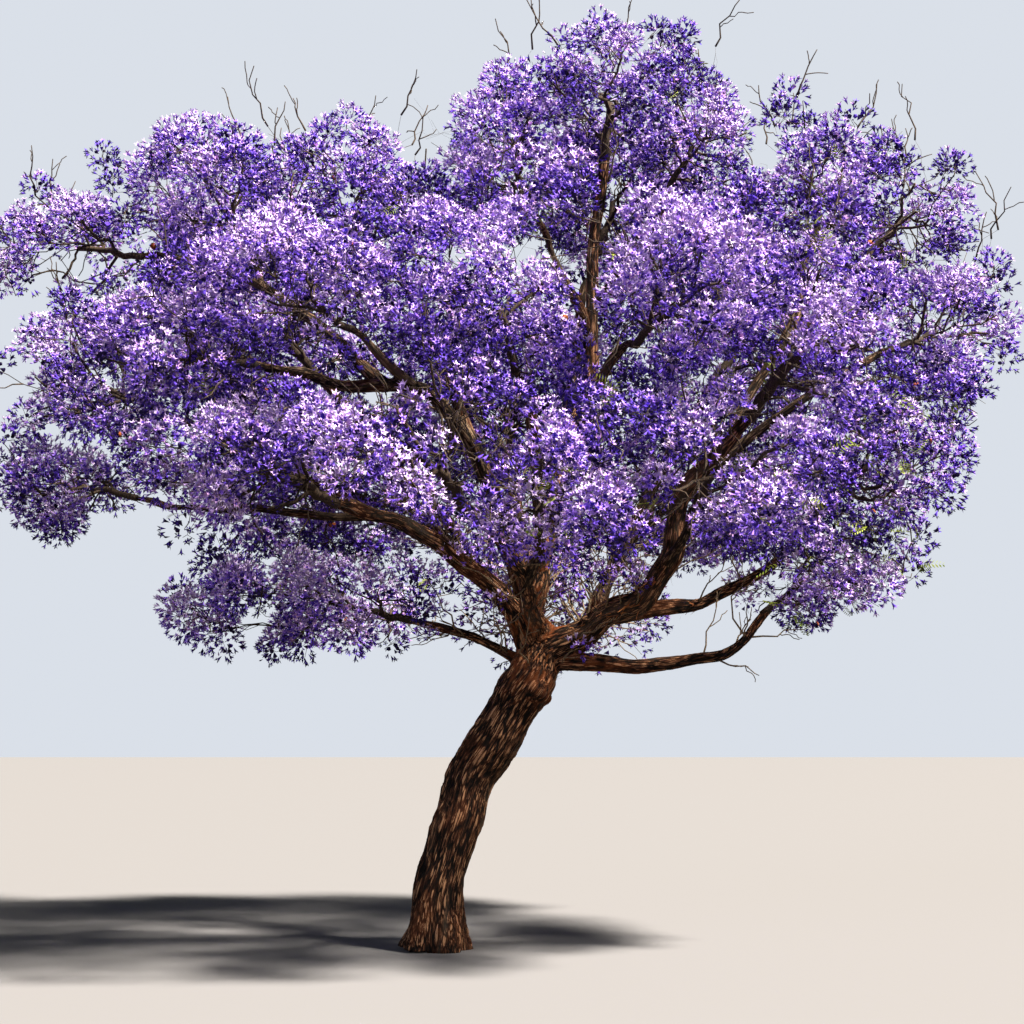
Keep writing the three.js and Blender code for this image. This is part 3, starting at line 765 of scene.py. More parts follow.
def growSpurs(twig, draw):
    form = bareForm
    for share in draw.uniform(0.25, 0.95, form["spurs"][twig["spray"]["small"]]):
        start = alongPath(twig["path"], share)
        away = unit(anyDirection(draw) + unit(twig["path"][-1] - twig["path"][0]) * 0.7)
        end = heldIn(start + away * draw.uniform(*form["spurLength"]))
        path = crook(straightPath(start, end, form["spurSteps"]), form["spurWander"], draw)
        branches["spur"].append((path, form["spurThick"]))


def growShoots(limb, span, draw):
    form = bareForm
    made = []
    behind = limb["name"].startswith("back")
    for _ in range(max(2, round((span[1] - span[0]) * limb["length"] * span[2]))):
        share = draw.uniform(*span[:2])
        middle, ahead = limb["crooked"](share)[0], headingOf(limb["at"], share)
        away = anyDirection(draw)
        away = unit(away - ahead * (away @ ahead))
        start = middle + away * float(limb["radius"](share)) * 0.6
        end = heldIn(start + unit(away + ahead * 0.5 + (0, 0, 0.45)) * draw.uniform(*form["shootLength"]))
        path = forkedTwig("shoot", start, end, form["shootThick"], draw)
        if draw.uniform() < form["shootBloom"][behind]:
            # shoot heads are a little darker, and those at the back darker still, as painted shade
            made.append({"middle": path[-1], "axis": unit(path[-1] - path[-2] + (0, 0, 0.05)),
                         "path": path[-2:], "toneAndShade": -0.5 - behind,
                         "radius": form["shootHead"][behind] * draw.uniform(0.8, 1.3)})
    return made


def growDry(mass, count, draw):
    # dry twigs on the highest tips of a mass
    tops = sorted(mass["twigs"], key=lambda twig: -twig["path"][-1][2])[:count]
    for twig in tops:
        start = twig["path"][-1]
        away = unit(np.array([0, 0, 1.1]) + anyDirection(draw) * 0.6)
        end = start + away * draw.uniform(*bareForm["dryLength"])
        forkedTwig("dry", start, heldIn(end), bareForm["dryThick"], draw)


draw = np.random.default_rng(bareForm["seed"])
branches.update(spur=[], shoot=[], dry=[])
shootHeads = []
for name, span in bareForm["shoots"].items():
    shootHeads += [head for head in growShoots(limbs[name], span, draw) if staysInside(head)]
for mass in masses:
    tips = np.array([twig["path"][-1] for twig in mass["twigs"]])
    for twig, inOpening in zip(mass["twigs"], seenInOpening(tips, draw)):
        if not inOpening:
            growSpurs(twig, draw)
    growDry(mass, bareForm["dry"].get(mass["row"]["mass"], 1), draw)
print("bare wood:", {kind: len(rows) for kind, rows in branches.items()})


def tubes(paths, radii, sides):
    # closed tubes of one kind joined in arrays: paths (n, k, 3) and radii (n, k)
    paths, radii = np.asarray(paths, float), np.asarray(radii, float)
    n, k = radii.shape
    ahead = np.empty_like(paths)
    ahead[:, 1:-1] = paths[:, 2:] - paths[:, :-2]
    ahead[:, 0], ahead[:, -1] = paths[:, 1] - paths[:, 0], paths[:, -1] - paths[:, -2]
    ahead = unit(ahead)
    whole = np.abs(unit(paths[:, -1] - paths[:, 0]))
    helper = np.eye(3)[whole.argmin(1)][:, None]
    normal = unit(np.cross(ahead, helper))
    side = np.cross(ahead, normal)
    angle = np.arange(sides) * fullTurn / sides
    ring = (normal[:, :, None] * np.cos(angle)[:, None] + side[:, :, None] * np.sin(angle)[:, None])
    ring = paths[:, :, None] + ring * radii[:, :, None, None]
    root = paths[:, :1] - ahead[:, :1] * radii[:, :1, None] * 0.5
    end = paths[:, -1:] + ahead[:, -1:] * radii[:, -1:, None]
    points = np.concatenate([ring.reshape(n, k * sides, 3), root, end], 1)
    faces = []
    for j in range(k - 1):
        for i in range(sides):
            a, b = j * sides + i, j * sides + (i + 1) % sides
            faces += [(a, b, b + sides), (a, b + sides, a + sides)]
    for i in range(sides):
        faces.append((i, k * sides, (i + 1) % sides))
        faces.append(((k - 1) * sides + i, (k - 1) * sides + (i + 1) % sides, k * sides + 1))
    faces = np.array(faces)
    total = points.shape[1]
    return points.reshape(-1, 3), (faces[None] + (np.arange(n) * total)[:, None, None]).reshape(-1, 3)


def joined(parts):
    points, faces, count = [], [], 0
    for p, f in parts:
        points.append(p)
        faces.append(f + count)
        count += len(p)
    return np.vstack(points), np.vstack(faces)


def meshPiece(name, points, faces):
    # one object from joined arrays of points and triangles
    mesh = bpy.data.meshes.new(name)
    mesh.vertices.add(len(points))
    mesh.vertices.foreach_set("co", points.astype(np.float32).ravel())
    mesh.loops.add(len(faces) * 3)
    mesh.loops.foreach_set("vertex_index", faces.astype(np.int32).ravel())
    mesh.polygons.add(len(faces))
    mesh.polygons.foreach_set("loop_start", np.arange(len(faces), dtype=np.int32) * 3)
    mesh.update(calc_edges=True)
    mesh.validate()
    piece = bpy.data.objects.new(name, mesh)
    bpy.context.collection.objects.link(piece)
    return piece


# Shader node groups and materials


def tone(code):
    # a colour as it looks on screen, made linear
    parts = [int(code[i:i + 2], 16) / 255 for i in (0, 2, 4)]
    return tuple(c / 12.92 if c <= 0.04045 else ((c + 0.055) / 1.055) ** 2.4 for c in parts) + (1,)


def node(tree, kind, at=(0, 0), **values):
    made = tree.nodes.new(kind)
    made.location = at
    for key, value in values.items():
        if key in ("data_type", "blend_type", "operation", "attribute_name", "feature"):
            setattr(made, key, value)
        else:
            made.inputs[key.replace("_", " ")].default_value = value
    return made


def ramp(tree, stops, at=(0, 0)):
    made = tree.nodes.new("ShaderNodeValToRGB")
    made.location = at
    while len(made.color_ramp.elements) < len(stops):
        made.color_ramp.elements.new(0.5)
    for element, (place, colour) in zip(made.color_ramp.elements, stops):
        element.position = place
        element.color = colour
    return made


def newGroup(name, takes, gives):
    group = bpy.data.node_groups.new(name, "ShaderNodeTree")
    for label, kind, default in takes:
        socket = group.interface.new_socket(label, in_out="INPUT", socket_type=kind)
        if default is not None:
            socket.default_value = default
    for label, kind in gives:
        group.interface.new_socket(label, in_out="OUTPUT", socket_type=kind)
    return group, group.nodes.new("NodeGroupInput"), group.nodes.new("NodeGroupOutput")


def makeBarkGrain():
    # furrows and flakes that run along a limb, on top of the modelled relief; the tone is darker in the
    # furrows as painted shade and lighter on the raised plates as painted highlight
    group, takes, gives = newGroup(
        "barkGrain",
        [("Way", "NodeSocketVector", None), ("Relief", "NodeSocketFloat", 0.5),
         ("Scale", "NodeSocketFloat", 1.0)],
        [("Tone", "NodeSocketFloat"), ("Flake", "NodeSocketFloat"), ("Height", "NodeSocketFloat")])
    link = group.links.new
    stretch = node(group, "ShaderNodeMapping", (-800, 0))
    stretch.inputs["Scale"].default_value = (1, 1, 0.12)
    link(takes.outputs["Way"], stretch.inputs["Vector"])
    size = node(group, "ShaderNodeVectorMath", (-600, 0), operation="SCALE")
    link(stretch.outputs[0], size.inputs[0])
    link(takes.outputs["Scale"], size.inputs["Scale"])
    fine = node(group, "ShaderNodeTexNoise", (-400, 200), Scale=130.0, Detail=6.0, Roughness=0.75)
    furrow = node(group, "ShaderNodeTexVoronoi", (-400, 0), feature="DISTANCE_TO_EDGE", Scale=46.0)
    broad = node(group, "ShaderNodeTexNoise", (-400, -200), Scale=7.0, Detail=3.0)
    bent = node(group, "ShaderNodeTexNoise", (-600, -300), Scale=14.0, Detail=2.0)
    link(size.outputs[0], bent.inputs["Vector"])
    shift = node(group, "ShaderNodeVectorMath", (-500, -100), operation="MULTIPLY_ADD")
    link(bent.outputs["Color"], shift.inputs[0])
    shift.inputs[1].default_value = (0.05, 0.05, 0.05)
    link(size.outputs[0], shift.inputs[2])
    for texture in (fine, broad):
        link(size.outputs[0], texture.inputs["Vector"])
    link(shift.outputs[0], furrow.inputs["Vector"])
    edge = node(group, "ShaderNodeMapRange", (-200, 0), From_Max=0.16)
    link(furrow.outputs["Distance"], edge.inputs["Value"])
    height = node(group, "ShaderNodeMath", (0, 0), operation="MULTIPLY_ADD")
    link(edge.outputs[0], height.inputs[0])
    height.inputs[1].default_value = 0.6
    link(fine.outputs["Fac"], height.inputs[2])
    # painted light and shade: the tone rises with the relief, so raised plates are lighter and furrows darker
    shade = node(group, "ShaderNodeMath", (200, 0), operation="MULTIPLY_ADD")
    link(takes.outputs["Relief"], shade.inputs[0])
    shade.inputs[1].default_value = 0.45
    link(height.outputs[0], shade.inputs[2])
    spread = node(group, "ShaderNodeMapRange", (400, 0), From_Min=0.55, From_Max=1.42)
    link(shade.outputs[0], spread.inputs["Value"])
    flake = node(group, "ShaderNodeMapRange", (200, -200), From_Min=0.54, From_Max=0.72)
    link(broad.outputs["Fac"], flake.inputs["Value"])
    link(spread.outputs[0], gives.inputs["Tone"])
    link(flake.outputs[0], gives.inputs["Flake"])
    link(height.outputs[0], gives.inputs["Height"])
    return group


def makePetalTone():
    # faint change of colour from head to head and from petal to petal
    group, takes, gives = newGroup(
        "petalTone",
        [("Petal", "NodeSocketColor", (0.4, 0.2, 0.8, 1)), ("Other", "NodeSocketColor", (0.5, 0.3, 0.8, 1))],
        [("Color", "NodeSocketColor"), ("Roughness", "NodeSocketFloat"), ("Height", "NodeSocketFloat")])
    link = group.links.new
    place = node(group, "ShaderNodeTexCoord", (-800, 0))
    heads = node(group, "ShaderNodeTexNoise", (-600, 100), Scale=5.0, Detail=2.0)
    petals = node(group, "ShaderNodeTexNoise", (-600, -100), Scale=60.0, Detail=3.0)
    for texture in (heads, petals):
        link(place.outputs["Object"], texture.inputs["Vector"])
    both = node(group, "ShaderNodeMath", (-400, 0), operation="MULTIPLY_ADD")
    link(petals.outputs["Fac"], both.inputs[0])
    both.inputs[1].default_value = 0.6
    link(heads.outputs["Fac"], both.inputs[2])
    share = node(group, "ShaderNodeMapRange", (-200, 0), From_Min=0.6, From_Max=1.0)
    link(both.outputs[0], share.inputs["Value"])
    mix = node(group, "ShaderNodeMix", (0, 0), data_type="RGBA")
    link(share.outputs[0], mix.inputs["Factor"])
    link(takes.outputs["Petal"], mix.inputs[6])
    link(takes.outputs["Other"], mix.inputs[7])
    rough = node(group, "ShaderNodeMapRange", (0, -200), To_Min=0.55, To_Max=0.75)
    link(petals.outputs["Fac"], rough.inputs["Value"])
    link(mix.outputs[2], gives.inputs["Color"])
    link(rough.outputs[0], gives.inputs["Roughness"])
    link(petals.outputs["Fac"], gives.inputs["Height"])
    return group


barkGrain = makeBarkGrain()
petalTone = makePetalTone()


def newMaterial(name, group):
    made = bpy.data.materials.new(name)
    made.use_nodes = True
    tree = made.node_tree
    effect = tree.nodes.new("ShaderNodeGroup")
    effect.node_tree = group
    effect.location = (-600, 0)
    bump = node(tree, "ShaderNodeBump", (-200, -300))
    tree.links.new(effect.outputs["Height"], bump.inputs["Height"])
    shader = tree.nodes["Principled BSDF"]
    tree.links.new(bump.outputs["Normal"], shader.inputs["Normal"])
    return made, tree, effect, bump, shader


barkLook = {
    # from furrow to plate: the darkest colours are painted shade in the furrows, the light tan at the top is
    # painted highlight on the plates, over the bark's own browns
    "stops": [(0.0, "030201"), (0.42, "0f0805"), (0.62, "29170f"), (0.82, "64402c"), (1.0, "c0926e")],
    # the upper boughs' colours are darker than the trunk's, as painted shade under the blossom
    "shadedBoughStops": [(0.0, "060302"), (0.38, "110a06"), (0.6, "241810"), (0.8, "483526"), (1.0, "84705a")],
    "rust": "a4582a",
    "flakeShare": 0.45,
    "grey": "857664",
    "bump": 0.7,
    "bumpDistance": 0.009,
}


def makeBarkMaterial(name, greyShare, stops):
    look = barkLook
    made, tree, effect, bump, shader = newMaterial(name, barkGrain)
    link = tree.links.new
    way = node(tree, "ShaderNodeAttribute", (-900, 100), attribute_name="barkWay")
    facts = node(tree, "ShaderNodeAttribute", (-900, -200), attribute_name="barkFacts")
    parts = node(tree, "ShaderNodeSeparateXYZ", (-750, -200))
    link(facts.outputs["Vector"], parts.inputs[0])
    link(way.outputs["Vector"], effect.inputs["Way"])
    link(parts.outputs["X"], effect.inputs["Relief"])
    colours = ramp(tree, [(place, tone(code)) for place, code in look[stops]], (-400, 200))
    link(effect.outputs["Tone"], colours.inputs["Fac"])
    grey = node(tree, "ShaderNodeMix", (-100, 200), data_type="RGBA", blend_type="MIX")
    flake = node(tree, "ShaderNodeMath", (-250, 50), operation="MULTIPLY")
    flake.inputs[1].default_value = greyShare
    link(effect.outputs["Flake"], flake.inputs[0])
    link(flake.outputs[0], grey.inputs["Factor"])
    link(colours.outputs["Color"], grey.inputs[6])
    grey.inputs[7].default_value = tone(look["grey"])
    rust = node(tree, "ShaderNodeMix", (80, 200), data_type="RGBA", blend_type="MIX")
    link(parts.outputs["Y"], rust.inputs["Factor"])
    link(grey.outputs[2], rust.inputs[6])
    rust.inputs[7].default_value = tone(look["rust"])
    link(rust.outputs[2], shader.inputs["Base Color"])
    shader.inputs["Roughness"].default_value = 0.92
    shader.inputs["Specular IOR Level"].default_value = 0.25
    bump.inputs["Strength"].default_value = look["bump"]
    bump.inputs["Distance"].default_value = look["bumpDistance"]
    return made


def makeTwigMaterial(name, codes):
    made, tree, effect, bump, shader = newMaterial(name, barkGrain)
    link = tree.links.new
    place = node(tree, "ShaderNodeTexCoord", (-900, 100))
    link(place.outputs["Object"], effect.inputs["Way"])
    effect.inputs["Relief"].default_value = 0.45
    effect.inputs["Scale"].default_value = 2.0
    stops = [(share, tone(code)) for share, code in zip((0, 0.45, 0.8, 1), codes)]
    colours = ramp(tree, stops, (-400, 200))
    link(effect.outputs["Tone"], colours.inputs["Fac"])
    link(colours.outputs["Color"], shader.inputs["Base Color"])
    shader.inputs["Roughness"].default_value = 0.85
    bump.inputs["Strength"].default_value = 0.4
    bump.inputs["Distance"].default_value = 0.002
    return made


def makeThinMaterial(name, petal, other):
    # petals, leaves, pods and flakes: two close colours
    made, tree, effect, bump, shader = newMaterial(name, petalTone)
    effect.inputs["Petal"].default_value = tone(petal)
    effect.inputs["Other"].default_value = tone(other)
    tree.links.new(effect.outputs["Color"], shader.inputs["Base Color"])
    tree.links.new(effect.outputs["Roughness"], shader.inputs["Roughness"])
    shader.inputs["Specular IOR Level"].default_value = 0.3
    bump.inputs["Strength"].default_value = 0.25
    bump.inputs["Distance"].default_value = 0.002
    return made


# Trunk and boughs with the relief of their bark

barkForm = {
    "trunk": {"limbs": ["trunk", "left_limb", "left_under_limb", "centre_limb", "right_limb",
                        "low_right_limb", "lowest_right_limb", "front_limb"],
              "voxel": 0.0136, "grey": 0.3, "stops": "stops"},
    "boughs": {"voxel": 0.0157, "grey": 0.4, "stops": "shadedBoughStops"},
    "ringStep": 0.07,
    "ringSides": 20,
    "sampleStep": 0.025,
    "smoothing": 5,
    "plate": (0.038, 0.27),  # width and length of a plate of bark on the trunk
    "depth": 0.08,  # of the radius
    "deepest": 0.015,
    "lump": (0.2, 0.32),  # on the trunk and on the boughs
    "lumpSize": (0.22, 0.4),
    "grain": (0.03, 0.12),
    "bent": (0.2, 0.3, 0.35),  # width, length and strength of the waves that bend the plates
    "gap": 0.32,  # furrow between plates, as a share of their width
    "sole": 0.012,  # what lies lower is flat on the ground
    "fork": (1.05, -0.1, 2.75),
    "forkReach": 0.55,  # about the fork the bark shows more rust
    "burrs": 34,
    "burrSize": (0.35, 0.7),
    "bend": (0.4, 0.94, 18),  # stretch of the trunk that is stouter, and its steps
    "bendSwell": 0.11,
    "seed": 12,
}


def limbRings(limb):
    # centre, frame and radius of rings along the crooked limb
    count = max(4, round(limb["length"] / barkForm["ringStep"]))
    share = np.linspace(0, 1, count + 1)
    centre = limb["crooked"](share)
    ahead = unit(np.gradient(centre, axis=0))
    normal = np.zeros_like(centre)
    last = np.array([1.0, 0, 0]) if abs(ahead[0][1]) > 0.9 else np.array([0, 1.0, 0])
    for i in range(count + 1):
        last = unit(last - ahead[i] * (last @ ahead[i]))
        normal[i] = last
    return share, centre, ahead, normal, np.cross(normal, ahead)


def addLimb(bm, limb):
    # a ring of vertices drawn out along the limb, closed at both ends
    share, centre, ahead, normal, side = limbRings(limb)
    sides = barkForm["ringSides"]
    ring = bmesh.ops.create_circle(bm, cap_ends=True, segments=sides, radius=1)["verts"]
    angles = [math.atan2(v.co.y, v.co.x) for v in ring]
    rim = list({edge for v in ring for edge in v.link_edges})
    for i in range(len(share)):
        if i:
            made = bmesh.ops.extrude_edge_only(bm, edges=rim)["geom"]
            ring = [item for item in made if isinstance(item, bmesh.types.BMVert)]
            rim = [item for item in made if isinstance(item, bmesh.types.BMEdge)
                   and all(v in ring for v in item.verts)]
            places = {v: lastPlace(v, centre[i - 1], normal[i - 1], side[i - 1]) for v in ring}
            ring = sorted(ring, key=places.get)
            angles = [places[v] for v in ring]
        for v, angle in zip(ring, angles):
            reach = float(limb["radius"](share[i], angle))
            v.co = Vector(centre[i] + (normal[i] * math.cos(angle) + side[i] * math.sin(angle)) * reach)
    bmesh.ops.contextual_create(bm, geom=rim)


def lastPlace(v, centre, normal, side):
    # angle of a vertex about the limb
    away = np.array(v.co) - centre
    return math.atan2(away @ side, away @ normal)


def addBurrs(bm, names, draw):
    # the trunk is stouter about its bend, and knobs stand out here and there
    trunk = limbs["trunk"]
    low, high, steps = barkForm["bend"]
    for share in np.linspace(low, high, steps):
        rise = math.sin(math.pi * (share - low) / (high - low))
        size = float(trunk["radius"](share)) * (1 + barkForm["bendSwell"] * rise)
        place = Matrix.Translation(Vector(trunk["crooked"](share)[0]))
        bmesh.ops.create_icosphere(bm, subdivisions=3, radius=size, matrix=place)
    for _ in range(barkForm["burrs"]):
        name = names[int(draw.integers(len(names)))]
        limb = limbs[name]
        share = draw.uniform(0.45, 0.97) if name == "trunk" else draw.uniform(0.03, 0.45)
        centre = limb["crooked"](share)[0]
        radius = float(limb["radius"](share))
        away = unit(draw.normal(size=3))
        size = radius * draw.uniform(*barkForm["burrSize"])
        place = Matrix.Translation(Vector(centre + away * (radius - size * 0.5)))
        bmesh.ops.create_icosphere(bm, subdivisions=2, radius=size, matrix=place)


def wrapLimbs(name, names, voxel, burrs):
    # the limbs melted into one closed skin
    bm = bmesh.new()
    for each in names:
        addLimb(bm, limbs[each])
    if burrs:
        addBurrs(bm, names[:5], np.random.default_rng(barkForm["seed"]))
    bmesh.ops.recalc_face_normals(bm, faces=bm.faces)
    mesh = bpy.data.meshes.new(name)
    bm.to_mesh(mesh)
    bm.free()
    rough = bpy.data.objects.new(name + "Rough", mesh)
    bpy.context.collection.objects.link(rough)
    melt = rough.modifiers.new("melt", "REMESH")
    melt.mode = "VOXEL"
    melt.voxel_size = voxel
    soften = rough.modifiers.new("soften", "SMOOTH")
    soften.iterations = barkForm["smoothing"]
    soften.factor = 0.5
    skin = bpy.data.meshes.new_from_object(rough.evaluated_get(bpy.context.evaluated_depsgraph_get()))
    bpy.data.objects.remove(rough)
    bpy.data.meshes.remove(mesh)
    piece = bpy.data.objects.new(name, skin)
    skin.name = name
    bpy.context.collection.objects.link(piece)
    return piece


def limbSamples(names):
    # close points along the limbs: centre, frame, radius, way along and scale of the plates
    table = []
    for number, each in enumerate(names):
        limb = limbs[each]
        share, centre, ahead, normal, side = limbRings(limb)
        fine = np.linspace(0, 1, max(8, round(limb["length"] / barkForm["sampleStep"])))

        def spread(values):
            return np.stack([np.interp(fine, share, values[:, k]) for k in range(3)], 1)
        radius = np.array([float(limb["radius"](s)) for s in fine])
        base = float(limb["radius"](0.3))
        scale = np.full(len(fine), math.sqrt(min(1, base / 0.2)))
        way = fine * limb["length"] + number * 11.3
        table.append((spread(centre), unit(spread(normal)), unit(spread(side)), unit(spread(ahead)),
                      radius, way, scale))
    return [np.concatenate([row[k] for row in table]) for k in range(7)]


def alongBark(row, wide, long, shift=0):
    return Vector((row[0] / wide + shift, row[1] / wide + shift, row[2] / long))


def wearBark(piece, names):
    # moves the skin in and out with plates and furrows, and keeps their place for the colours
    mesh = piece.data
    count = len(mesh.vertices)
    points, normals = np.empty(count * 3, np.float32), np.empty(count * 3, np.float32)
    mesh.vertices.foreach_get("co", points)
    mesh.vertex_normals.foreach_get("vector", normals)
    points, normals = points.reshape(-1, 3).astype(float), normals.reshape(-1, 3).astype(float)
    centre, normal, side, ahead, radius, way, scale = limbSamples(names)
    weight = (centre ** 2).sum(1) - radius ** 2
    near = np.concatenate([(weight - 2 * block @ centre.T).argmin(1)
                           for block in np.array_split(points, count // 4000 + 1)])
    local = points - centre[near]
    rows = np.stack([(local * normal[near]).sum(1), (local * side[near]).sum(1),
                     way[near] + (local * ahead[near]).sum(1)], 1)
    facts = np.zeros((count, 3))
    form = barkForm
    wide, long = form["plate"]
    for i, row in enumerate(rows):
        k = scale[near[i]]
        bent = noise.noise(alongBark(row, *form["bent"][:2])) * form["bent"][2]
        gaps = noise.voronoi(alongBark(row, wide * k, long * k, bent))[0]
        plate = min(1.0, (gaps[1] - gaps[0]) / form["gap"])
        grain = noise.fractal(alongBark(row, *form["grain"]), 0.8, 2.1, 3)
        lump = noise.noise(alongBark(row, *form["lumpSize"]))
        facts[i] = (plate, grain, lump)
    thick = radius[near]
    depth = np.minimum(form["depth"] * thick, form["deepest"])
    relief = 0.62 * facts[:, 0] + 0.42 * facts[:, 1]
    lumpy = np.where(thick > 0.15, *form["lump"])
    move = depth * (relief - 0.45) + lumpy * thick * facts[:, 2]
    points += normals * move[:, None]
    points[points[:, 2] < form["sole"], 2] = 0
    mesh.vertices.foreach_set("co", points.astype(np.float32).ravel())
    nearFork = np.exp(-(np.linalg.norm(points - form["fork"], axis=1) / form["forkReach"]) ** 2)
    patch = np.clip((facts[:, 1] + facts[:, 2] * 1.4 - 0.1) * 1.7, 0, 1)
    facts = np.stack([np.clip(relief, 0, 1), patch * (0.1 + 0.6 * nearFork), thick], 1)
    for label, values in (("barkWay", rows), ("barkFacts", facts)):
        mesh.attributes.new(label, "FLOAT_VECTOR", "POINT").data.foreach_set(
            "vector", values.astype(np.float32).ravel())
    mesh.polygons.foreach_set("use_smooth", np.ones(len(mesh.polygons), bool))
    mesh.update()


def barkPiece(name, names, form, burrs):
    piece = wrapLimbs(name, names, form["voxel"], burrs)
    wearBark(piece, names)
    piece.data.materials.append(makeBarkMaterial(name + "Bark", form["grey"], form["stops"]))
    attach(piece, "root")
    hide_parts(*names)
    print(name + ":", len(piece.data.polygons), "faces")
    return piece


mainNames = barkForm["trunk"]["limbs"]
otherNames = [name for name in limbs if name not in mainNames]
barkPiece("trunk_and_main_limbs", mainNames, barkForm["trunk"], True)
barkPiece("upper_boughs", otherNames, barkForm["boughs"], False)

# Stems, twigs and the stalks of the heads

massNames = [row["mass"] for row in boughs]
twigLooks = {
    "twigs": {"sides": {"stem": 7, "twig": 5, "small": 3, "spur": 3, "dry": 4},
              # the twigs' colours are darkened as painted shade under the blossom
              "tones": ("0c0704", "1c120c", "382819", "5d4a36")},
    "shoots": {"sides": {"shoot": 5}, "tones": ("2a1d13", "5e4b38", "8a765c", "ab9878")},
    "stalks": {"tones": ("110d07", "261d12", "3f331f", "5d5034")},
}


def radiiAlong(thick, steps):
    return blend(thick[0], thick[1], np.linspace(0, 1, steps) ** 0.8)


def branchTubes(kind, sides):
    # the branches of one kind, those with as many points together
    alike = {}
    for path, thick in branches[kind]:
        alike.setdefault(len(path), []).append((path, radiiAlong(thick, len(path))))
    return joined([tubes(*zip(*group), sides) for group in alike.values()])


def plantPiece(name, points, faces, material, slot, nodes):
    piece = meshPiece(name, points, faces)
    piece.data.materials.append(material)
    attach(piece, "root")
    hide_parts(*nodes)
    print(name + ":", len(faces), "triangles")
    return piece


def sideStalks(everyHead, draw):
    # a few thin stalks from the middle of a head out to its flowers
    count = headForm["sideStalks"]
    middle = np.array([head["middle"] for head in everyHead])
    axis = np.array([head["axis"] for head in everyHead])
    radius = np.array([head["radius"] for head in everyHead])
    away = unit(draw.normal(size=(len(everyHead), count, 3)) + axis[:, None] * 0.5)
    start = np.repeat((middle - axis * radius[:, None] * 0.3)[:, None], count, 1)
    end = middle[:, None] + away * radius[:, None, None] * 0.85
    paths = np.stack([start, end], 2).reshape(-1, 2, 3)
    return tubes(paths, np.full(paths.shape[:2], headForm["side"]), 3)


everyHead = heads + shootHeads
for name in ("twigs", "shoots"):
    look = twigLooks[name]
    parts = joined([branchTubes(kind, sides) for kind, sides in look["sides"].items()])
    plantPiece(name, *parts, makeTwigMaterial(name + "Bark", look["tones"]), "bark", massNames)
headPaths = [head["path"] for head in heads]
stalks = joined([tubes(headPaths, [radiiAlong(headForm["stalk"], len(path)) for path in headPaths], 3),
                 sideStalks(everyHead, np.random.default_rng(headForm["sideSeed"]))])
plantPiece("stalks", *stalks, makeTwigMaterial("stalkBark", twigLooks["stalks"]["tones"]), "bark", massNames)

# Blossom: bells with five lobes, joined in one piece for each colour

flowerForm = {
    "perHead": 41,
    "perShootHead": 22,
    "tube": 0.044,
    "mouth": (0.0135, 0.015),  # radius of the two open kinds
    "lobe": (0.029, 0.033),
    "length": (0.064, 0.057),
    "budWide": 0.008,
    "bellWide": 0.02,
    "edge": -0.45,  # how far down the head the flowers go
    "shell": (0.6, 0.88),
    "innerShare": 0.18,
    "innerShell": (0.2, 0.45),
    "budShare": 0.1,
    "sizes": (0.78, 1.15),
    "scatter": 0.32,
    "seed": 5,
}

# share of the flowers and two close colours for each piece, from lightest to deepest; the flowers are dealt
# to them as painted light and shade, and the deepest piece is a near black painted shade
blossomLooks = {
    "blossom_pale": (0.255, "d4c0f0", "decef6"),
    "blossom_light": (0.18, "bc9eec", "c8aef2"),
    "blossom_mid": (0.15, "8c66e0", "9a76ea"),
    "blossom_deep": (0.14, "492cb0", "5a3cc0"),
    "blossom_shade": (0.2, "1b0e44", "281658"),
    "blossom_pink": (0.08, "c89ee0", "d6aeea"),
}


def openFlower(kind):
    # a tube and its lobes, apart because the tube takes a deeper colour, painted shade below the lobes
    form = flowerForm
    angle = np.arange(5) * fullTurn / 5
    mid = angle + fullTurn / 10
    mouth, lobe = form["mouth"][kind], form["lobe"][kind]
    rim = np.stack([np.cos(angle) * mouth, np.sin(angle) * mouth, np.full(5, form["tube"])], 1)
    tube, tubeFaces, _ = roundFlower(3, mouth, form["tube"], 0)[0]
    tips = np.stack([np.cos(mid) * lobe, np.sin(mid) * lobe, np.full(5, form["length"][kind])], 1)
    following = (np.arange(5) + 1) % 5
    lobes = np.stack([np.arange(5), following, 5 + np.arange(5)], 1)
    return [(tube, tubeFaces, 1), (np.vstack([rim, tips]), lobes, 0)]


def roundFlower(sides, wide, high, tip):
    # a bell without lobes, or a bud where it has a tip
    angle = np.arange(sides) * fullTurn / sides
    rim = np.stack([np.cos(angle) * wide, np.sin(angle) * wide, np.full(sides, high)], 1)
    faces = [(0, 1 + (i + 1) % sides, 1 + i) for i in range(sides)]
    if tip:
        faces += [(sides + 1, 1 + i, 1 + (i + 1) % sides) for i in range(sides)]
    points = np.vstack([np.zeros((1, 3)), rim] + ([[(0, 0, tip)]] if tip else []))
    return [(points, np.array(faces), 0)]


def flowerShapes():
    form = flowerForm
    return [openFlower(0), openFlower(1), roundFlower(3, form["budWide"], 0.03, 0.045),
            roundFlower(5, form["bellWide"], form["tube"], 0)]


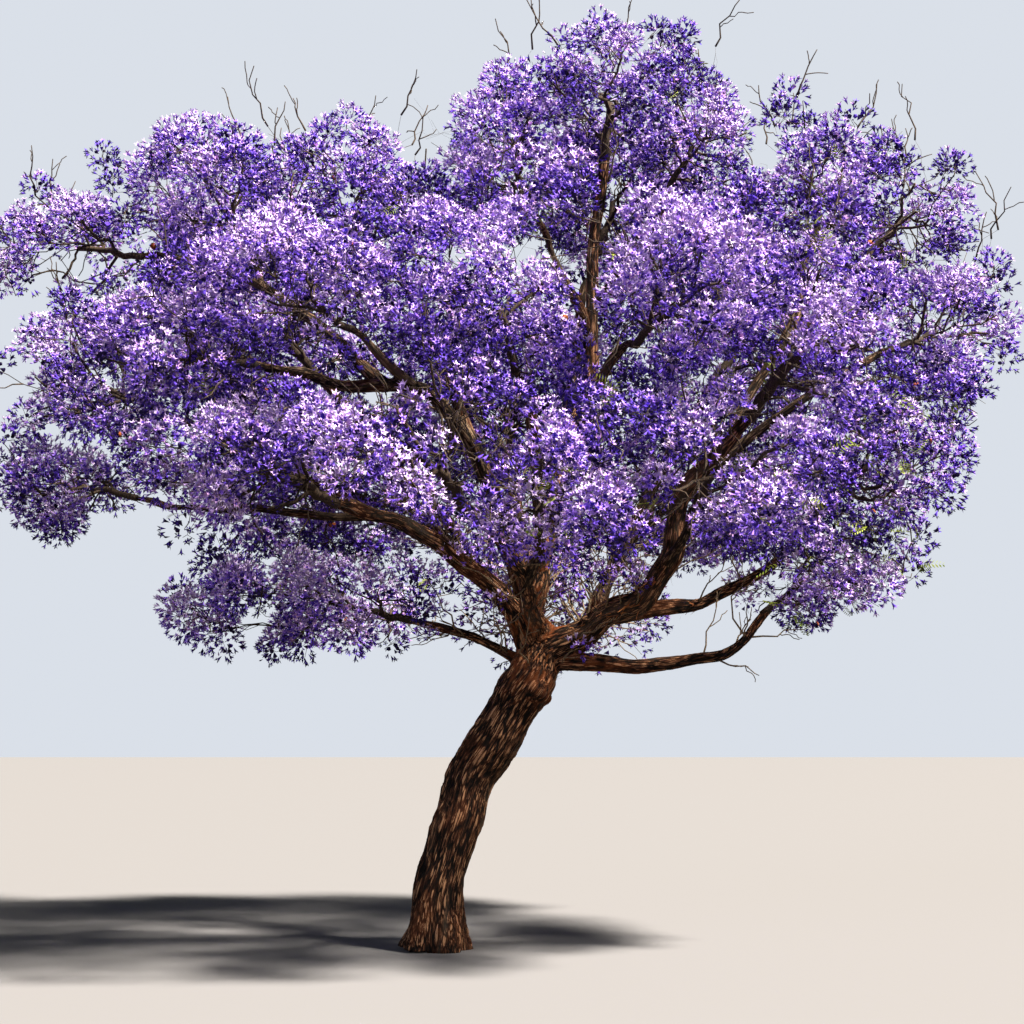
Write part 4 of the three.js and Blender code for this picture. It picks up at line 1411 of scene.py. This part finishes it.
def flowersOf(someHeads, count, draw):
    # places, facings, sizes, kinds, turns and lightness of the flowers on the given heads; the lightness is
    # painted light and shade
    form, n = flowerForm, len(someHeads)
    middle = np.array([head["middle"] for head in someHeads])[:, None]
    axis = np.array([head["axis"] for head in someHeads])[:, None]
    radius = np.array([head["radius"] for head in someHeads])[:, None, None]
    toneAndShade = np.array([head["toneAndShade"] for head in someHeads])[:, None]
    rise = 1 - (np.arange(count) + 0.5) / count * (1 - form["edge"])
    angle = np.arange(count) * math.pi * (3 - math.sqrt(5)) + draw.uniform(*anyTurn, (n, 1))
    helper = np.eye(3)[np.abs(axis[:, 0]).argmin(1)][:, None]
    first = unit(np.cross(axis, helper))
    second = np.cross(axis, first)
    flat = np.sqrt(1 - rise ** 2)[None, :, None]
    away = first * np.cos(angle)[..., None] * flat + second * np.sin(angle)[..., None] * flat
    away = unit(away + axis * rise[None, :, None] + draw.normal(size=(n, count, 3)) * 0.13)
    inner = draw.uniform(size=(n, count)) < form["innerShare"]
    innerShell = draw.uniform(*form["innerShell"], (n, count))
    shell = np.where(inner, innerShell, draw.uniform(*form["shell"], (n, count)))
    place = middle + away * shell[..., None] * radius
    facing = unit(away + axis * 0.2 + draw.normal(size=(n, count, 3)) * form["scatter"])
    kind = np.where(draw.uniform(size=(n, count)) < form["budShare"], 2, draw.integers(0, 2, (n, count)))
    kind = np.where(inner, 3, kind)
    size = draw.uniform(*form["sizes"], (n, count)) * (radius[..., 0] / headForm["radius"]) ** 0.5
    # painted light and shade: flowers that face up and stand on the outer shell of a head are lighter, low
    # and inner ones darker, and the head's own value lightens or darkens the whole head
    light = away[..., 2] * 0.85 + shell * 0.9 + toneAndShade * 0.3 + draw.normal(size=(n, count)) * 0.2
    roll = draw.uniform(*anyTurn, (n, count))
    return [values.reshape(n * count, -1).squeeze() for values in (place, facing, size, kind, roll, light)]


def placed(shape, place, facing, size, roll):
    # copies of a small shape, each turned to face its own way
    points, faces = shape
    helper = np.eye(3)[np.abs(facing).argmin(1)]
    first = unit(np.cross(facing, helper))
    second = np.cross(facing, first)
    c, s = np.cos(roll)[:, None], np.sin(roll)[:, None]
    first, second = first * c + second * s, second * c - first * s
    turned = (points[None, :, :1] * first[:, None] + points[None, :, 1:2] * second[:, None]
              + points[None, :, 2:] * facing[:, None])
    copies = place[:, None] + turned * size[:, None, None]
    steps = (np.arange(len(place)) * len(points))[:, None, None]
    return copies.reshape(-1, 3), (faces[None] + steps).reshape(-1, 3)


def dealColours(light, draw):
    # painted light and shade: lighter flowers on the top and outer shell of a head, deeper ones below and
    # inside
    names = [name for name in blossomLooks if name != "blossom_pink"]
    shares = np.array([blossomLooks[name][0] for name in names])
    rank = np.empty(len(light), int)
    rank[(-light).argsort()] = np.arange(len(light))
    given = np.searchsorted(np.cumsum(shares / shares.sum()) * len(light), rank, side="right")
    given = np.minimum(given, len(names) - 1)
    pink = (draw.uniform(size=len(light)) < blossomLooks["blossom_pink"][0] * 1.5) & (given < 3)
    return np.where(pink, len(names), given), [*names, "blossom_pink"]


draw = np.random.default_rng(flowerForm["seed"])
groups = [flowersOf(heads, flowerForm["perHead"], draw),
          flowersOf(shootHeads, flowerForm["perShootHead"], draw)]
place, facing, size, kind, roll, light = (np.concatenate(columns) for columns in zip(*groups))
given, colourNames = dealColours(light, draw)
# painted shade on the tubes: each tube takes the next deeper colour
shadedTube = np.array([1, 2, 3, 4, 3, 2])[given]  # the tube's colour is the next one down
for number, name in enumerate(colourNames):
    parts = []
    for k, shape in enumerate(flowerShapes()):
        for points, faces, isTube in shape:
            mine = ((shadedTube if isTube else given) == number) & (kind == k)
            parts.append(placed((points, faces), place[mine], facing[mine], size[mine], roll[mine]))
    petals = makeThinMaterial(name + "Petals", *blossomLooks[name][1:])
    plantPiece(name, *joined(parts), petals, "blossom", massNames)

# Leaves and pods: a few fresh fern-like leaves, mostly low on the right, and dry seed pods

leafForm = {
    "onMass": {"right_low": 90, "right_far": 50, "right_skirt": 80, "right_mid": 50, "right_front": 30,
               "centre_front": 16, "left_skirt": 14, "top_right": 10, "middle_high": 10, "left_front_high": 8,
               "right_top": 14, "back_low_right": 20, "back_low_left": 12},
    "pairs": 7,
    "length": 0.18,
    "near": 0.15,  # a leaf grows by a head of flowers
    "within": (-3.2, 4.2),  # and not on the sides of the crown
    "blade": 0.055,
    "wide": 0.0065,
    "arch": 0.05,
    "rib": 0.002,
    "sizes": (0.7, 1.25),
    "tones": ("6f8a2a", "a9b545"),
    "seed": 19,
}

podForm = {"count": 34, "radius": 0.03, "thick": 0.006, "sides": 9, "sizes": (0.8, 1.3),
           "tones": ("9c4a20", "c4713a"), "seed": 23}


def leafShape():
    # a midrib with pairs of narrow blades, arched over
    form = leafForm
    points, faces = [], []
    for i in range(form["pairs"]):
        share = (i + 0.7) / form["pairs"]
        root = np.array([0, -form["arch"] * share ** 2, form["length"] * share])
        blade = form["blade"] * math.sin(math.pi * (0.2 + 0.7 * share)) ** 0.7
        for hand in (-1, 1):
            tip = root + np.array([hand * blade, -0.35 * blade * share, blade * 0.45])
            mid = (root + tip) / 2
            across = np.array([0, 0.2, 1]) * form["wide"]
            k = len(points)
            points += [root, mid + across, tip, mid - across]
            blades = [(k, k + 1, k + 2), (k, k + 2, k + 3)]
            faces += blades if hand > 0 else [face[::-1] for face in blades]
    k = len(points)
    rib = np.array([form["rib"], 0, 0])
    points += [-rib, rib, np.array([0, -form["arch"], form["length"]])]
    faces.append((k, k + 1, k + 2))
    return np.array(points), np.array(faces)


def podShape():
    # a flat round pod that hangs by its rim
    form, sides = podForm, podForm["sides"]
    angle = np.arange(sides) * fullTurn / sides
    rim = np.stack([np.cos(angle) * form["radius"], np.zeros(sides),
                    form["radius"] * (1.1 + np.sin(angle) * 0.9)], 1)
    middle = np.array([[0, form["thick"], form["radius"]], [0, -form["thick"], form["radius"]]])
    faces = []
    for i in range(sides):
        j = (i + 1) % sides
        faces += [(i, sides, j), (j, sides + 1, i)]
    return np.vstack([rim, middle]), np.array(faces)


def growLeaves(headMiddles, draw):
    place, facing = [], []
    for mass in masses:
        count = leafForm["onMass"].get(mass["row"]["mass"], 2)
        for _ in range(count):
            twig = mass["twigs"][int(draw.integers(len(mass["twigs"])))]
            root = alongPath(twig["path"], draw.uniform(0.6, 1))
            away = unit(twig["spray"]["axes"][0] + anyDirection(draw) * 0.9 + (0, 0, -0.2))
            tip = root + away * leafForm["length"]
            near = np.linalg.norm(headMiddles - root, axis=1).min() < leafForm["near"]
            within = leafForm["within"][0] < root[0] < leafForm["within"][1]
            if near and within and (heldIn(tip) == tip).all():
                place.append(root + away * 0.12)
                facing.append(away)
    return np.array(place), np.array(facing)


draw = np.random.default_rng(leafForm["seed"])
place, facing = growLeaves(np.array([head["middle"] for head in heads]), draw)
size = draw.uniform(*leafForm["sizes"], len(place))
leaves = placed(leafShape(), place, facing, size, draw.uniform(*anyTurn, len(place)))
plantPiece("leaves", *leaves, makeThinMaterial("leafGreen", *leafForm["tones"]), "blossom", massNames)

draw = np.random.default_rng(podForm["seed"])
low, high = leafForm["within"]
among = [head for head in heads if low < head["middle"][0] < high]
chosen = [among[i] for i in draw.choice(len(among), podForm["count"], replace=False)]
hang = [unit(head["axis"] + draw.normal(size=3) * 0.4) * head["radius"] for head in chosen]
place = np.array([head["middle"] for head in chosen]) + hang
facing = unit(draw.normal(size=place.shape) * 0.4 + (0, 0, -1))
size = draw.uniform(*podForm["sizes"], len(place))
pods = placed(podShape(), place, facing, size, draw.uniform(*anyTurn, len(place)))
plantPiece("pods", *pods, makeThinMaterial("podBrown", *podForm["tones"]), "blossom", massNames)

# Bark flakes: curled strips that peel off about the fork

flakeForm = {
    "on": {"trunk": (0.84, 1, 90), "centre_limb": (0, 0.2, 170), "right_limb": (0, 0.4, 120),
           "left_limb": (0, 0.3, 60), "front_limb": (0, 0.25, 30), "low_right_limb": (0, 0.35, 30)},
    "length": (0.03, 0.085),
    "wide": (0.006, 0.016),
    "lift": (0.25, 0.7),
    "root": 0.006,
    "taper": 0.7,
    "tones": ("6a3519", "b0703f"),
    "seed": 41,
}


def growFlakes(draw):
    form = flakeForm
    points, faces = [], []
    for name, (low, high, count) in form["on"].items():
        limb = limbs[name]
        for _ in range(count):
            share = draw.uniform(low, high)
            middle, ahead = limb["crooked"](share)[0], headingOf(limb["at"], share)
            away = anyDirection(draw)
            away = unit(away - ahead * (away @ ahead))
            across = np.cross(ahead, away) * draw.uniform(*form["wide"]) / 2
            along = unit(ahead * draw.choice((-1, 1)) + np.cross(ahead, away) * draw.normal() * 0.3)
            root = middle + away * (float(limb["radius"](share)) - form["root"])
            length, lift = draw.uniform(*form["length"]), draw.uniform(*form["lift"])
            k = len(points)
            for step in np.linspace(0, 1, 4):
                rise = length * lift * step ** 2 + 2 * form["root"] * step
                line = root + along * length * step + away * rise
                taper = 1 - form["taper"] * step
                points += [line - across * taper, line + across * taper]
            for i in (0, 2, 4):
                faces += [(k + i, k + i + 1, k + i + 3), (k + i, k + i + 3, k + i + 2)]
    return np.array(points), np.array(faces)


plantPiece("bark_flakes", *growFlakes(np.random.default_rng(flakeForm["seed"])),
           makeThinMaterial("flakeRust", *flakeForm["tones"]), "bark", mainNames)

# Floor, light and camera

stageForm = {
    "floorSize": 400,
    "floorTone": "707175",
    "bounce": "3a3634",  # the floor as it lights the tree from below
    "skyTone": "dfe5ee",
    "seen": 0.95,
    "light": 0.06,
}


def makeFloor():
    bm = bmesh.new()
    bmesh.ops.create_grid(bm, x_segments=1, y_segments=1, size=stageForm["floorSize"] / 2)
    mesh = bpy.data.meshes.new("floor")
    bm.to_mesh(mesh)
    bm.free()
    floor = bpy.data.objects.new("floor", mesh)
    bpy.context.collection.objects.link(floor)
    made = bpy.data.materials.new("floorPaper")
    made.use_nodes = True
    # pale to the camera, darker where it throws light back up
    shader = made.node_tree.nodes["Principled BSDF"]
    path = made.node_tree.nodes.new("ShaderNodeLightPath")
    mix = node(made.node_tree, "ShaderNodeMix", (-200, 0), data_type="RGBA")
    mix.inputs[6].default_value = tone(stageForm["bounce"])
    mix.inputs[7].default_value = tone(stageForm["floorTone"])
    made.node_tree.links.new(path.outputs["Is Camera Ray"], mix.inputs["Factor"])
    made.node_tree.links.new(mix.outputs[2], shader.inputs["Base Color"])
    shader.inputs["Roughness"].default_value = 0.9
    mesh.materials.append(made)


def makeSky():
    # pale where the camera sees it, and weaker as light
    world = bpy.data.worlds.new("studio")
    world.use_nodes = True
    tree = world.node_tree
    sky = tree.nodes["Background"]
    sky.inputs["Color"].default_value = tone(stageForm["skyTone"])
    path = tree.nodes.new("ShaderNodeLightPath")
    strength = node(tree, "ShaderNodeMapRange", (-200, -100),
                    To_Min=stageForm["light"], To_Max=stageForm["seen"])
    tree.links.new(path.outputs["Is Camera Ray"], strength.inputs["Value"])
    tree.links.new(strength.outputs[0], sky.inputs["Strength"])
    bpy.context.scene.world = world


lamps = {
    "key": {"kind": "SUN", "from": (12, -7, 18), "angle": 7, "power": 18, "tone": "fff3e2"},
    "fill": {"kind": "SUN", "from": (-10, -14, 6), "angle": 40, "power": 0.55, "tone": "e6eeff"},
}


def makeLamp(name, form):
    # far and broad, so that the shadows stay soft
    data = bpy.data.lights.new(name, form["kind"])
    data.angle = math.radians(form["angle"])
    data.energy = form["power"]
    data.color = tone(form["tone"])[:3]
    lamp = bpy.data.objects.new(name, data)
    bpy.context.collection.objects.link(lamp)
    lamp.location = form["from"]
    lamp.rotation_mode = "QUATERNION"
    lamp.rotation_quaternion = (-Vector(form["from"])).to_track_quat("-Z", "Y")


cameraForm = {"place": (0.667, -16, 1.742), "pitch": 7.064, "lens": 65.25, "sensor": 36}


def makeCamera():
    data = bpy.data.cameras.new("camera")
    data.lens = cameraForm["lens"]
    data.sensor_width = cameraForm["sensor"]
    camera = bpy.data.objects.new("camera", data)
    bpy.context.collection.objects.link(camera)
    camera.location = cameraForm["place"]
    camera.rotation_euler = (math.radians(90 + cameraForm["pitch"]), 0, 0)
    bpy.context.scene.camera = camera


makeFloor()
makeSky()
for name, form in lamps.items():
    makeLamp(name, form)
makeCamera()
bpy.context.scene.view_settings.view_transform = "Standard"
